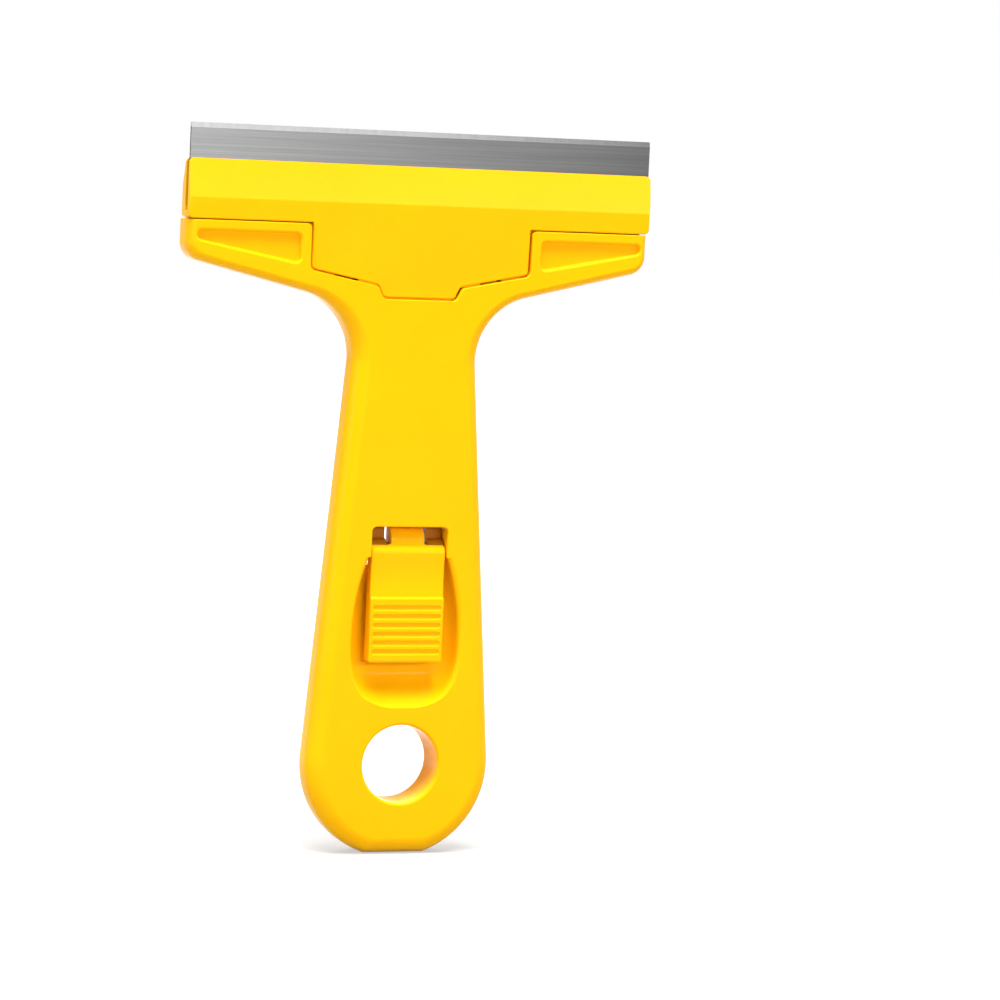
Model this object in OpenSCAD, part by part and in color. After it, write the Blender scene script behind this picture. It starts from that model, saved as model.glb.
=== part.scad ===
// Hand scraper with a straight replaceable blade and a flip lever clamp.
// X runs along the blade, Y from the front to the back, Z up from the flat end of the handle.
// The lever turns on a pin between two fork legs of the draw bar. The top of its neck is a cam
// that bears under the bridge above the window. Opening the lever lets the draw bar rise, and the
// front jaw then rocks forward and frees the blade.

/* [Handle] */
// Height of the handle moulding, from its flat end to the seat of the jaws
handle_h = 131.1; // [122:0.1:145]
// Thickness of the handle
handle_t = 9.8; // [9.4:0.1:12]
// Radius of the long edges of the handle
edge_r = 3.6; // [2:0.1:4]
// Share of that radius that is left at the arms
arm_edge_share = 0.5; // [0.3:0.05:1]
// Radius of the round end of the grip
grip_r = 20.1; // [19:0.1:24]
// Width of the flat at the end of the grip
end_flat_w = 13; // [6:0.5:18]
// Width of the neck where its straight sides would meet the arms
neck_w = 25.2; // [24:0.1:32]
// Radius of the fillet between the neck and each arm
neck_fillet_r = 13.8; // [8:0.1:18]
// Height of an arm at its end
arm_end_h = 7.8; // [7:0.1:10]
// Height of an arm where it would meet the neck
arm_root_h = 16.9; // [16:0.1:20]
// Radius of the lower outer corner of an arm
arm_corner_r = 4; // [3:0.1:5]
// Thickness of an arm
arm_t = 6.6; // [6.4:0.1:8]
// Width of the thick middle behind the jaws
boss_w = 42; // [40.6:0.1:44]
// Radius of the corner of an arm beside the shield
arm_inner_r = 1.3; // [0.5:0.1:2]
// Radius of the hanging hole
hole_r = 8.25; // [5:0.05:10]
// Radius of the rounded rim of the hanging hole
hole_rim_r = 0.65; // [0.3:0.05:1.2]

/* [Blade] */
// Length of the blade
blade_l = 100; // [90:1:120]
// Width of the blade, from its back to its cutting edge
blade_w = 18; // [16:0.5:20]
// Thickness of the blade
blade_t = 0.5; // [0.3:0.05:0.8]
// Height of the ground bevel
bevel_h = 1.05; // [0.6:0.05:2]
// Thickness left at the cutting edge
edge_t = 0.06; // [0.04:0.01:0.1]
// Height of the blade that stands out of the jaws
blade_out = 7.2; // [5:0.1:8]
// Height of the back of the blade above the seat of the jaws
blade_foot_h = 1.6; // [1.4:0.1:3]

/* [Jaws] */
// Thickness of the head over both jaws
head_t = 6.4; // [6:0.1:7.5]
// Depth of the front of the head behind the front of the handle
head_step = 0.1; // [0:0.05:0.3]
// Depth of the middle of the blade behind the front of the handle
blade_depth = 2; // [1.9:0.05:2.4]
// Height of the upright lower face of a jaw, below its long bevel
jaw_face_h = 4.6; // [3.5:0.1:6]
// Thickness of the front jaw at its lip
lip_t = 0.65; // [0.4:0.05:1.2]
// Thickness of the rear jaw at its lip
rear_lip_t = 1.5; // [1:0.1:3]
// Length by which the jaws stand past each end of the blade
jaw_overhang = 0.2; // [0:0.05:1]
// Width of the shield
shield_w = 47.3; // [44:0.1:54]
// Height of the upright sides of the shield
shield_side_h = 9.1; // [8.5:0.1:10]
// Width of the shield at the lower end of its slanted edges
shield_tip_w = 18; // [17:0.1:24]
// Depth of that lower end below the seat
shield_tip_h = 12; // [11.5:0.1:12.8]
// Width of the foot of the shield
shield_foot_w = 15.5; // [12:0.1:16.5]
// Depth of the foot of the shield below the seat
shield_foot_h = 14.6; // [14:0.1:15.5]
// Radius of the corners of the shield
shield_corner_r = 1; // [0.4:0.1:1.2]
// Thickness of the shield
shield_t = 1.6; // [1.4:0.05:1.65]
// Depth of the keel under the rear jaw
keel_h = 2.6; // [2:0.1:3]
// Half thickness of the keel at its root
keel_root = 1.1; // [0.8:0.05:1.2]
// Half thickness of the keel at its lower edge
keel_tip = 0.6; // [0.4:0.05:0.75]
// Distance from the end of the jaw to the end of its keel
keel_inset = 2.7; // [2.4:0.1:5]
// Wall of the arm behind the keel
keel_wall = 0.9; // [0.7:0.1:1.2]

/* [Arm pockets] */
// Depth of the pocket in the front of each arm
pocket_d = 1.1; // [0.5:0.1:1.3]
// Distance from the shield to the pocket
pocket_inner_gap = 2.6; // [2:0.1:5]
// Distance from the end of the arm to the pocket
pocket_outer_gap = 2; // [1.5:0.1:5]
// Distance from the seat of the jaws to the pocket
pocket_top_gap = 2.1; // [1.5:0.1:2.5]
// Height of the pocket at its inner end
pocket_inner_h = 6.1; // [5:0.1:6.5]
// Height of the pocket at its outer end
pocket_outer_h = 1.8; // [1.4:0.1:2.4]
// Radius of the corners of the pocket
pocket_corner_r = 0.6; // [0.3:0.1:0.8]

/* [Lever] */
// Share of the height of the handle at which the top of the window lies
window_top_share = 0.5255; // [0.5:0.0005:0.56]
// Height of the window
window_h = 8.5; // [8:0.1:11]
// Width of the window
window_w = 16.6; // [16.5:0.1:18]
// Radius of the upper corners of the window
window_corner_r = 1; // [0.4:0.1:1.6]
// Width of the lever
lever_w = 16.1; // [15:0.1:16.2]
// Share of the room between the dish and the shoulders that is left free below the lever
finger_share = 0.28; // [0.26:0.0005:0.34]
// Gap between the shoulders of the lever and the top of the window
shoulder_gap = 3.8; // [3.2:0.1:4]
// Thickness of the smooth part of the lever
lever_t = 2.9; // [2.5:0.1:3]
// Height of the ridges above the smooth part
rib_h = 0.6; // [0.3:0.05:0.8]
// Number of grooves between the ridges
grooves = 6; // [4:1:6]
// Distance from groove to groove
groove_pitch = 1.85; // [1.5:0.01:2]
// Distance from the lower end of the lever to its lowest groove
groove_start = 2.3; // [1.8:0.1:3]
// Radius of a groove
groove_r = 0.62; // [0.4:0.02:0.7]
// Radius of the rounded upper edge of the lever
shoulder_r = 1.8; // [1.5:0.1:2]
// Width of the neck of the lever
lever_neck_w = 7.2; // [6:0.1:8]
// Radius of the fillets at the root of the neck
lever_neck_fillet_r = 0.5; // [0.3:0.1:0.6]
// Radius of the lever pin
lever_pin_r = 0.75; // [0.6:0.05:0.9]
// Depth of the lever pin below the top of the window
lever_pin_drop = 4.3; // [4.1:0.05:4.5]
// Depth of the lever pin behind the front of the handle
lever_pin_depth = 3.7; // [3.5:0.05:3.9]
// Angle through which the lever opens, in degrees
lever_swing = 60; // [40:1:62]
// Distance that the draw bar rises as the lever opens
bar_lift = 1.4; // [1:0.1:1.5]

/* [Thumb dish] */
// Half width of the dish at its widest place
dish_half_w = 11.6; // [10.5:0.1:13]
// Depth of the dish
dish_d = 5.2; // [5:0.05:5.5]
// Distance from the rim of the hanging hole to the dish
dish_hole_gap = 2.88; // [2:0.01:5]
// Share of the free room below the lever that the lower ramp of the dish takes
dish_ramp_share = 0.8; // [0.7:0.01:0.85]
// Share of the way from its lower end to the shoulders of the lever at which the dish is widest
dish_mid_share = 0.414; // [0.35:0.001:0.45]
// Share of the same length over which its sides would close above the widest place
dish_upper_share = 0.758; // [0.7:0.001:0.95]

/* [Draw bar] */
// Thickness of the draw bar
bar_t = 3; // [2.4:0.1:3.2]
// Depth of the middle of the draw bar behind the front of the handle
bar_depth = 5.25; // [5.2:0.05:5.4]
// Width of the shank
shank_w = 9.2; // [7:0.1:9.4]
// Width across the fork
fork_w = 16; // [15.4:0.1:16.2]
// Width of one fork leg
leg_w = 3.5; // [2.4:0.05:3.6]
// Wall round the lever pin in a fork leg
eye_wall = 0.9; // [0.7:0.05:0.95]
// Height of the yoke that joins the legs
yoke_h = 3.8; // [3:0.1:5]
// Height of the bridge above the window, which the cam bears on
bridge_h = 3; // [2.5:0.1:4]
// Width of the head of the draw bar
bar_head_w = 14; // [12:0.1:15]
// Depth of the jaw pin below the seat of the jaws
jaw_pin_drop = 10.1; // [9.8:0.1:10.6]
// Radius of the jaw pin
jaw_pin_r = 1; // [0.8:0.05:1.1]
// Radius of the lugs round the jaw pin
lug_r = 2.1; // [1.9:0.05:2.15]
// Width of a lug of the front jaw
front_lug_w = 6; // [4:0.1:7]
// Width of a lug of the rear jaw
rear_lug_w = 4; // [3:0.1:5]
// Angle through which the front jaw rocks, in degrees
jaw_rock = 3; // [1:0.5:3]

/* [Return spring] */
// Length of the spring with the lever closed
spring_l = 7.6; // [6.5:0.1:10]
// Radius of the spring to the middle of its wire
spring_r = 1.75; // [1.5:0.05:1.8]
// Diameter of the spring wire
wire_d = 0.5; // [0.3:0.05:0.55]
// Number of turns
spring_turns = 6; // [4:1:6]
// Radius of the peg inside the spring
peg_r = 1.1; // [0.8:0.05:1.15]
// Length of the peg
peg_l = 3; // [2:0.1:4]

/* [Rear cover] */
// Thickness of the rear cover
cover_t = 1.8; // [1.4:0.1:2.2]
// Width of the rear cover
cover_w = 18.6; // [18.2:0.1:20]
// Distance from the seat of the jaws to the rear cover
cover_top_gap = 4.85; // [3.6:0.05:7]
// Radius of the corners of the rear cover
cover_corner_r = 2; // [1:0.1:3]
// Radius of a screw, over its thread
screw_r = 1.1; // [0.8:0.05:1.3]
// Radius of a screw head
screw_head_r = 2; // [1.7:0.05:2.1]
// Height of the cone under a screw head
screw_cone_h = 0.9; // [0.6:0.05:1.1]
// Length of a screw with its head
screw_l = 6.2; // [5:0.1:7]
// Distance of the screws from the middle of the cover
screw_x = 7.1; // [6.6:0.1:7.2]
// Distance of the screws from the rooms for the fork and for the lugs
screw_end_gap = 4; // [2:0.1:6]
// Width of the arms of the cross in a screw head
cross_w = 0.55; // [0.4:0.05:0.7]
// Length of the cross in a screw head, from tip to tip
cross_l = 2.4; // [1.8:0.1:3]
// Depth of the cross in a screw head
cross_d = 0.8; // [0.5:0.05:1]

/* [Clearances] */
// Gap seen between two mouldings
seam_gap = 0.25; // [0.15:0.05:0.4]
// Gap beside a moving piece inside the handle
slide_gap = 0.3; // [0.2:0.05:0.35]
// Gap on each side of the keel in its groove
keel_gap = 0.2; // [0.1:0.05:0.3]
// Gap round a pin that a piece turns on
pin_gap = 0.04; // [0.02:0.01:0.08]
// Gap round a pin or screw that is held fast
held_gap = 0.02; // [0.01:0.01:0.04]
// Gap on each face of the blade
blade_gap = 0.03; // [0.02:0.01:0.05]
// Gap between the cam and the bridge
cam_gap = 0.05; // [0.03:0.01:0.1]

/* [Hidden] */

$fn = 64;
// How far a cut runs past the face that it opens
over = 1;

// Heights above the flat end of the handle
seat_z = handle_h;
blade_foot_z = seat_z + blade_foot_h;
lip_z = blade_foot_z + blade_w - blade_out;
jaw_pin_z = seat_z - jaw_pin_drop;
grip_z = sqrt(pow(grip_r, 2) - pow(end_flat_w / 2, 2));
window_top_z = handle_h * window_top_share;
window_low_z = window_top_z - window_h;
lever_pin_z = window_top_z - lever_pin_drop;
shoulder_z = window_top_z - shoulder_gap;
dish_low_z = grip_z + hole_r + hole_rim_r + dish_hole_gap;
dish_room = shoulder_z - dish_low_z;
dish_mid_z = dish_low_z + dish_room * dish_mid_share;
lever_low_z = dish_low_z + dish_room * finger_share;
bridge_top_z = window_top_z + bridge_h;
yoke_low_z = bridge_top_z + spring_l;
yoke_top_z = yoke_low_z + yoke_h;
cavity_low_z = jaw_pin_z - lug_r - slide_gap - bar_lift;
cover_low_z = window_top_z + seam_gap;
cover_top_z = seat_z - cover_top_gap;
fork_room_top_z = yoke_top_z + bar_lift + slide_gap;

// Places from front to back
front_y = -handle_t / 2;
arm_back_y = front_y + arm_t;
jaw_front_y = front_y + head_step;
jaw_back_y = jaw_front_y + head_t;
blade_y = front_y + blade_depth;
shield_back_y = jaw_front_y + shield_t;
recess_y = shield_back_y + seam_gap + slide_gap / 2;
cover_y = handle_t / 2 - cover_t;
jaw_pin_y = front_y + bar_depth;
bar_front_y = jaw_pin_y - bar_t / 2;
bar_back_y = jaw_pin_y + bar_t / 2;
channel_front_y = jaw_pin_y - lug_r - slide_gap;
lever_pin_y = front_y + lever_pin_depth;
dish_floor_y = front_y + dish_d;
rib_front_y = front_y;
lever_front_y = rib_front_y + rib_h;
lever_back_y = lever_front_y + lever_t;
clamp_front_y = blade_y - blade_t / 2 - blade_gap;
clamp_back_y = blade_y + blade_t / 2 + blade_gap;
meet_y = clamp_front_y + 2 * held_gap;
keel_y = arm_back_y - keel_wall - keel_gap - keel_root;

// Widths and radii that follow
head_w = blade_l + 2 * jaw_overhang;
keel_half_l = head_w / 2 - keel_inset;
eye_r = lever_pin_r + eye_wall;
eye_room_r = eye_r + slide_gap;
leg_in_x = fork_w / 2 - leg_w;
front_lug_x = bar_head_w / 2 + slide_gap;
rear_lug_x = front_lug_x + front_lug_w + slide_gap;
jaw_pin_half_l = rear_lug_x + rear_lug_w;
cavity_half_w = jaw_pin_half_l + 2 * slide_gap;
cam_h = lever_pin_drop - cam_gap;
cam_fall = bar_lift / (lever_swing * PI / 180);

yellow = [0.99, 0.79, 0.05];
steel = [0.72, 0.73, 0.75];
bright_steel = [0.82, 0.83, 0.85];

// Plain tools
module both_sides() {
    children();
    mirror([1, 0, 0]) children();
}

// A front view outline, given depth from y0 to y1
module slab(y0, y1) {
    translate([0, y1, 0]) rotate([90, 0, 0]) linear_extrude(height = y1 - y0) children();
}

// A side view outline, whose first value is Y and second is Z, run along X from x0 to x1
module bar(x0, x1) {
    translate([x0, 0, 0]) rotate([90, 0, 90]) linear_extrude(height = x1 - x0) children();
}

// A block between two corners
module block(low, high) {
    translate(low) cube(high - low);
}

module x_rod(r, x0, x1, y, z) {
    translate([x0, y, z]) rotate([0, 90, 0]) cylinder(r = r, h = x1 - x0);
}

module y_rod(r, y0, y1, x, z) {
    translate([x, y0, z]) rotate([-90, 0, 0]) cylinder(r = r, h = y1 - y0);
}

// A rectangle with true round corners
module round_box(low, high, r) {
    translate([low[0] + r, low[1]]) square([high[0] - low[0] - 2 * r, high[1] - low[1]]);
    translate([low[0], low[1] + r]) square([high[0] - low[0], high[1] - low[1] - 2 * r]);
    for (x = [low[0] + r, high[0] - r], z = [low[1] + r, high[1] - r])
        translate([x, z]) circle(r);
}

// Handle
// Its outline is three arcs a side: the grip end, the neck fillet and the corner of the arm. An
// outline that lies further in keeps the centres of the arcs, so the edges are rounded by rings.
arm_slope = atan2(arm_root_h - arm_end_h, (head_w - neck_w) / 2);
root_place = [neck_w / 2, seat_z - arm_root_h];
under_a = arm_slope - 90;
flank_a = atan2(root_place[1] - grip_z, root_place[0])
    - acos(grip_r / norm([root_place[0], root_place[1] - grip_z]));
function dir(a) = [cos(a), sin(a)];
// The point where two straight edges meet, each given by its normal and its distance
function meet(a, p, b, q) = [p * sin(b) - q * sin(a), q * cos(a) - p * cos(b)] / sin(b - a);
fillet_centre = meet(flank_a, dir(flank_a) * root_place + neck_fillet_r,
                     under_a, dir(under_a) * root_place + neck_fillet_r);
corner_centre = meet(0, head_w / 2 - arm_corner_r,
                     under_a, dir(under_a) * [head_w / 2, seat_z - arm_end_h] - arm_corner_r);
grip_steps = 20;
fillet_steps = 12;
corner_steps = 5;
// An arc whose radius is less by an inset that goes from one value to another along it
function arc(centre, r, a, b, steps, from, to) = [for (i = [0:steps])
    centre + (r - from + (from - to) * i / steps) * dir(a + (b - a) * i / steps)];
function half_outline(inset) = let (arm_inset = inset * arm_edge_share) concat(
    arc([0, grip_z], grip_r, asin((inset - grip_z) / (grip_r - inset)), flank_a, grip_steps, inset, inset),
    arc(fillet_centre, -neck_fillet_r, flank_a, under_a, fillet_steps, inset, arm_inset),
    arc(corner_centre, arm_corner_r, under_a, 0, corner_steps, arm_inset, arm_inset),
    [[head_w / 2 - arm_inset, seat_z]]);
function outline(inset) = let (half = half_outline(inset), n = len(half))
    concat(half, [for (i = [n - 1:-1:0]) [-half[i][0], half[i][1]]]);

module handle_blank() {
    edge_steps = 5;
    edge = [for (i = [0:edge_steps]) let (a = 90 * i / edge_steps)
        [edge_r * (1 - sin(a)), handle_t / 2 - edge_r * (1 - cos(a))]];
    rings = concat(
        [for (i = [0:edge_steps]) [edge[i][0], -edge[i][1]]],
        [for (i = [edge_steps:-1:0]) edge[i]]);
    n = len(outline(0));
    last = len(rings) - 1;
    points = [for (ring = rings) each [for (p = outline(ring[0])) [p[0], ring[1], p[1]]]];
    sides = [for (i = [0:last - 1], j = [0:n - 1]) let (a = i * n + j, b = i * n + (j + 1) % n)
        each [[a, b, a + n], [b, b + n, a + n]]];
    // Each flat face is a ladder of strips from side to side
    front = [for (j = [0:n / 2 - 2]) let (k = n - 1 - j) each [[j, k, k - 1], [j, k - 1, j + 1]]];
    back = [for (t = front) [for (i = [2:-1:0]) t[i] + last * n]];
    polyhedron(points, concat(sides, front, back));
}

// The hanging hole, with its rim rounded on both faces
module hanging_hole() {
    y_rod(hole_r, front_y - over, -front_y + over, 0, grip_z);
    for (turn = [90, -90])
        translate([0, 0, grip_z]) rotate([turn, 0, 0]) translate([0, 0, handle_t / 2 - hole_rim_r])
            rotate_extrude() difference() {
                square([hole_r + hole_rim_r, hole_rim_r + over]);
                translate([hole_r + hole_rim_r, 0]) circle(hole_rim_r);
            }
}

module window_cut() {
    slab(front_y - over, -front_y + over) {
        translate([-window_w / 2, window_low_z])
            square([window_w, window_h - window_corner_r]);
        translate([-window_w / 2 + window_corner_r, window_low_z])
            square([window_w - 2 * window_corner_r, window_h]);
        for (side = [-1, 1])
            translate([side * (window_w / 2 - window_corner_r), window_top_z - window_corner_r])
                circle(window_corner_r);
    }
}

// The thumb dish is a row of cross sections, each wide and flat with steep sides
dish_steps = 14;
dish_points = 12;
dish_low_share = 2.6;
dish_side_share = 3.4;
dish_first_share = 0.002;
function dish_half(z) = z > dish_mid_z
    ? dish_half_w * sqrt(1 - pow((z - dish_mid_z) / (dish_room * dish_upper_share), 2))
    : dish_half_w * pow(1 - pow((dish_mid_z - z) / (dish_room * dish_mid_share), dish_low_share),
                        1 / dish_low_share);
function dish_floor(z) = dish_d
    * sin(90 * min(1, (z - dish_low_z) / (dish_room * finger_share * dish_ramp_share)));
function dish_rise(share) = pow(max(0, 1 - pow(abs(share), dish_side_share)), 1 / dish_side_share);

module dish_cut() {
    length = window_low_z + over - dish_low_z;
    n = dish_points + 3;
    heights = [for (i = [0:dish_steps]) dish_low_z
        + length * (dish_first_share + (1 - dish_first_share) * pow(i / dish_steps, 2))];
    points = [for (z = heights) each [
        [-dish_half(z), front_y - over, z],
        for (j = [0:dish_points]) let (share = -cos(180 * j / dish_points))
            [share * dish_half(z), front_y + dish_floor(z) * dish_rise(share), z],
        [dish_half(z), front_y - over, z]
    ]];
    sides = [for (i = [0:dish_steps - 1], j = [0:n - 1]) let (a = i * n + j, b = i * n + (j + 1) % n)
        each [[a, b, a + n], [b, b + n, a + n]]];
    polyhedron(points, concat(sides, [[for (j = [n - 1:-1:0]) j]],
        [[for (j = [0:n - 1]) dish_steps * n + j]]));
}

// Room for the lever in front of the dish floor
module lever_room() {
    side = lever_w / 2 + slide_gap;
    block([-side, front_y - over, lever_low_z - slide_gap], [side, dish_floor_y, window_low_z + over]);
}

module channel_cut() {
    shank_side = shank_w / 2 + slide_gap;
    fork_side = fork_w / 2 + slide_gap / 2;
    back = cover_y + over;
    block([-shank_side, channel_front_y, bridge_top_z], [shank_side, back, seat_z]);
    block([-fork_side, channel_front_y, bridge_top_z],
          [fork_side, back, fork_room_top_z]);
    both_sides()
        block([leg_in_x - slide_gap, channel_front_y, window_low_z + over],
              [fork_side, back, bridge_top_z + over]);
}

// The room behind the shield for the lugs and the jaw pin, open at the top
module jaw_cavity() {
    block([-cavity_half_w, recess_y, cavity_low_z], [cavity_half_w, cover_y, seat_z + over]);
    // Room for the roots of the front lugs where they pass the slanted edges of the shield
    both_sides()
        block([front_lug_x - slide_gap, shield_back_y - seam_gap - slide_gap, cavity_low_z + bar_lift],
              [front_lug_x + front_lug_w + slide_gap, recess_y + over, jaw_pin_z]);
}

module shield_outline() {
    offset(r = shield_corner_r) offset(delta = -shield_corner_r) polygon([
        [-shield_w / 2, seat_z + jaw_face_h], [-shield_w / 2, seat_z - shield_side_h],
        [-shield_tip_w / 2, seat_z - shield_tip_h], [-shield_foot_w / 2, seat_z - shield_foot_h],
        [shield_foot_w / 2, seat_z - shield_foot_h], [shield_tip_w / 2, seat_z - shield_tip_h],
        [shield_w / 2, seat_z - shield_side_h], [shield_w / 2, seat_z + jaw_face_h]
    ]);
}

module shield_recess() {
    edge_x = shield_w / 2 + seam_gap;
    slab(front_y - over, recess_y) {
        offset(delta = seam_gap) shield_outline();
        // The corner of each arm beside the shield is rounded
        both_sides() difference() {
            translate([edge_x - over, seat_z - arm_inner_r]) square([arm_inner_r + over, arm_inner_r + over]);
            translate([edge_x + arm_inner_r, seat_z - arm_inner_r]) circle(arm_inner_r);
        }
    }
}

// The arms are thinner than the grip, so their backs are cut away
module arm_backs() {
    both_sides()
        block([boss_w / 2, arm_back_y, seat_z / 2], [head_w, -front_y + over, seat_z + over]);
}

module arm_pocket() {
    inner = shield_w / 2 + pocket_inner_gap;
    outer = head_w / 2 - pocket_outer_gap;
    top = seat_z - pocket_top_gap;
    slab(front_y - over, front_y + pocket_d)
        offset(r = pocket_corner_r) offset(delta = -pocket_corner_r) polygon([
            [inner, top], [outer, top], [outer, top - pocket_outer_h], [inner, top - pocket_inner_h]
        ]);
}

// The tapered groove in the arms, which the keel of the rear jaw is drawn down into
module keel_groove() {
    side = keel_half_l + slide_gap;
    slope = (keel_root - keel_tip) / keel_h;
    low = seat_z - keel_h - slide_gap;
    top = seat_z + over;
    bar(-side, side) translate([keel_y, 0]) polygon([
        [-keel_tip - keel_gap, low], [keel_tip + keel_gap, low],
        [keel_root + keel_gap + slope * over, top], [-keel_root - keel_gap - slope * over, top]
    ]);
}

module cover_outline(gap) {
    round_box([-cover_w / 2 - gap, cover_low_z - gap], [cover_w / 2 + gap, cover_top_z + gap],
              cover_corner_r + gap);
}

module cover_seat() {
    slab(cover_y, -front_y + over) cover_outline(seam_gap / 2);
}

module at_screws() {
    for (x = [-screw_x, screw_x], z = [fork_room_top_z + screw_end_gap, cavity_low_z - screw_end_gap])
        translate([x, 0, z]) children();
}

module handle_body() {
    color(yellow) difference() {
        handle_blank();
        hanging_hole();
        window_cut();
        dish_cut();
        lever_room();
        channel_cut();
        jaw_cavity();
        shield_recess();
        arm_backs();
        both_sides() arm_pocket();
        keel_groove();
        cover_seat();
        at_screws() y_rod(screw_r + held_gap, handle_t / 2 - screw_l - slide_gap, handle_t / 2, 0, 0);
    }
}

// Rear cover and its screws
module screw_form(gap) {
    head_r = screw_head_r + gap;
    shank_r = screw_r + gap;
    rotate([-90, 0, 0]) translate([0, 0, handle_t / 2 - screw_cone_h])
        cylinder(r1 = shank_r, r2 = head_r, h = screw_cone_h);
    y_rod(shank_r, handle_t / 2 - screw_l, handle_t / 2 - screw_cone_h, 0, 0);
}

module rear_cover() {
    color(yellow) difference() {
        slab(cover_y + held_gap, handle_t / 2) cover_outline(0);
        at_screws() screw_form(held_gap);
    }
}

module cover_screws() {
    color(bright_steel) at_screws() difference() {
        screw_form(0);
        for (size = [[cross_l, cross_w], [cross_w, cross_l]])
            block([-size[0] / 2, handle_t / 2 - cross_d, -size[1] / 2],
                  [size[0] / 2, handle_t / 2 + over, size[1] / 2]);
    }
}

// Side view of a jaw from its flat inner face: the outer face, the long bevel and the lip
module jaw_profile(inner_y, outer_y, lip_y) {
    polygon([
        [inner_y, seat_z + seam_gap], [outer_y, seat_z + seam_gap], [outer_y, seat_z + jaw_face_h],
        [lip_y, lip_z], [inner_y, lip_z]
    ]);
}

module front_jaw() {
    lug_out_x = front_lug_x + front_lug_w;
    color(yellow) difference() {
        union() {
            bar(-head_w / 2, head_w / 2) jaw_profile(clamp_front_y, jaw_front_y, clamp_front_y - lip_t);
            slab(jaw_front_y, shield_back_y) intersection() {
                shield_outline();
                translate([-shield_w, 0]) square([2 * shield_w, seat_z + jaw_face_h / 2]);
            }
            both_sides() {
                block([front_lug_x, shield_back_y - seam_gap, jaw_pin_z - lug_r],
                      [lug_out_x, jaw_pin_y, jaw_pin_z + lug_r]);
                x_rod(lug_r, front_lug_x, lug_out_x, jaw_pin_y, jaw_pin_z);
            }
        }
        x_rod(jaw_pin_r + pin_gap, -head_w, head_w, jaw_pin_y, jaw_pin_z);
    }
}

module rear_jaw() {
    web_low_z = jaw_pin_z + lug_r + slide_gap;
    web_back_y = cover_y - slide_gap;
    color(yellow) difference() {
        union() {
            bar(-head_w / 2, head_w / 2) jaw_profile(clamp_back_y, jaw_back_y, clamp_back_y + rear_lip_t);
            bar(-keel_half_l, keel_half_l) translate([keel_y, 0]) polygon([
                [-keel_tip, seat_z - keel_h], [keel_tip, seat_z - keel_h], [keel_root, seat_z],
                [keel_root, blade_foot_z], [-keel_root, blade_foot_z], [-keel_root, seat_z]
            ]);
            // The strip below the blade, which the back of the blade stands on
            block([-head_w / 2, meet_y, seat_z + seam_gap],
                  [head_w / 2, clamp_back_y + lip_t, blade_foot_z - blade_gap]);
            block([-jaw_pin_half_l, meet_y, web_low_z], [jaw_pin_half_l, web_back_y, seat_z]);
            both_sides() {
                block([rear_lug_x, jaw_pin_y - lug_r / 2, jaw_pin_z],
                      [jaw_pin_half_l, jaw_pin_y + lug_r, web_low_z + over]);
                x_rod(lug_r, rear_lug_x, jaw_pin_half_l, jaw_pin_y, jaw_pin_z);
            }
        }
        x_rod(jaw_pin_r + held_gap, -head_w, head_w, jaw_pin_y, jaw_pin_z);
    }
}

module jaw_pin() {
    color(steel) x_rod(jaw_pin_r, -jaw_pin_half_l, jaw_pin_half_l, jaw_pin_y, jaw_pin_z);
}

module draw_bar() {
    color(yellow) difference() {
        union() {
            both_sides() {
                block([leg_in_x, max(bar_front_y, lever_pin_y), lever_pin_z],
                      [fork_w / 2, bar_back_y - slide_gap, yoke_low_z + over]);
                x_rod(eye_r, leg_in_x, fork_w / 2, lever_pin_y, lever_pin_z);
            }
            block([-fork_w / 2, bar_front_y, yoke_low_z], [fork_w / 2, bar_back_y, yoke_top_z]);
            block([-shank_w / 2, bar_front_y, yoke_top_z - over], [shank_w / 2, bar_back_y, jaw_pin_z]);
            block([-bar_head_w / 2, jaw_pin_y - lug_r, jaw_pin_z - lug_r],
                  [bar_head_w / 2, jaw_pin_y + lug_r, jaw_pin_z + lug_r]);
            translate([0, jaw_pin_y, yoke_low_z - peg_l]) cylinder(r = peg_r, h = peg_l + over);
        }
        x_rod(lever_pin_r + held_gap, -fork_w, fork_w, lever_pin_y, lever_pin_z);
        x_rod(jaw_pin_r + held_gap, -bar_head_w, bar_head_w, jaw_pin_y, jaw_pin_z);
    }
}

module lever_pin() {
    color(steel) x_rod(lever_pin_r, -fork_w / 2, fork_w / 2, lever_pin_y, lever_pin_z);
}

// The cam curve, a circle involute: each degree of swing lets the pin rise by the same amount
function cam_point(a) = let (h = cam_h - cam_fall * a * PI / 180)
    [-h * sin(a) + cam_fall * cos(a), h * cos(a) + cam_fall * sin(a)];

module cam_outline() {
    translate([lever_pin_y, lever_pin_z]) {
        polygon(concat(
            [for (a = [0:6:90]) cam_point(a)],
            [[cam_point(90)[0], 0], [eye_r, 0], [eye_r, cam_point(0)[1] - eye_wall / 2]]
        ));
        circle(eye_r);
    }
}

module lever_outline() {
    rib_top_z = lever_low_z + groove_start + grooves * groove_pitch;
    corner_y = lever_front_y + shoulder_r;
    corner_z = shoulder_z - shoulder_r;
    polygon(concat(
        [[lever_back_y, lever_low_z], [lever_back_y, shoulder_z]],
        [for (a = [90:10:180]) [corner_y + shoulder_r * cos(a), corner_z + shoulder_r * sin(a)]],
        [[lever_front_y, rib_top_z + rib_h], [rib_front_y, rib_top_z],
         [rib_front_y, lever_low_z + rib_h], [rib_front_y + rib_h, lever_low_z]]
    ));
}

module neck_front() {
    side = lever_neck_w / 2;
    r = lever_neck_fillet_r;
    translate([-side, lever_pin_z - eye_r]) square([lever_neck_w, cam_h + 2 * eye_r]);
    both_sides() difference() {
        translate([side, shoulder_z - over]) square([r, r + over]);
        translate([side + r, shoulder_z + r]) circle(r);
    }
}

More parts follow.
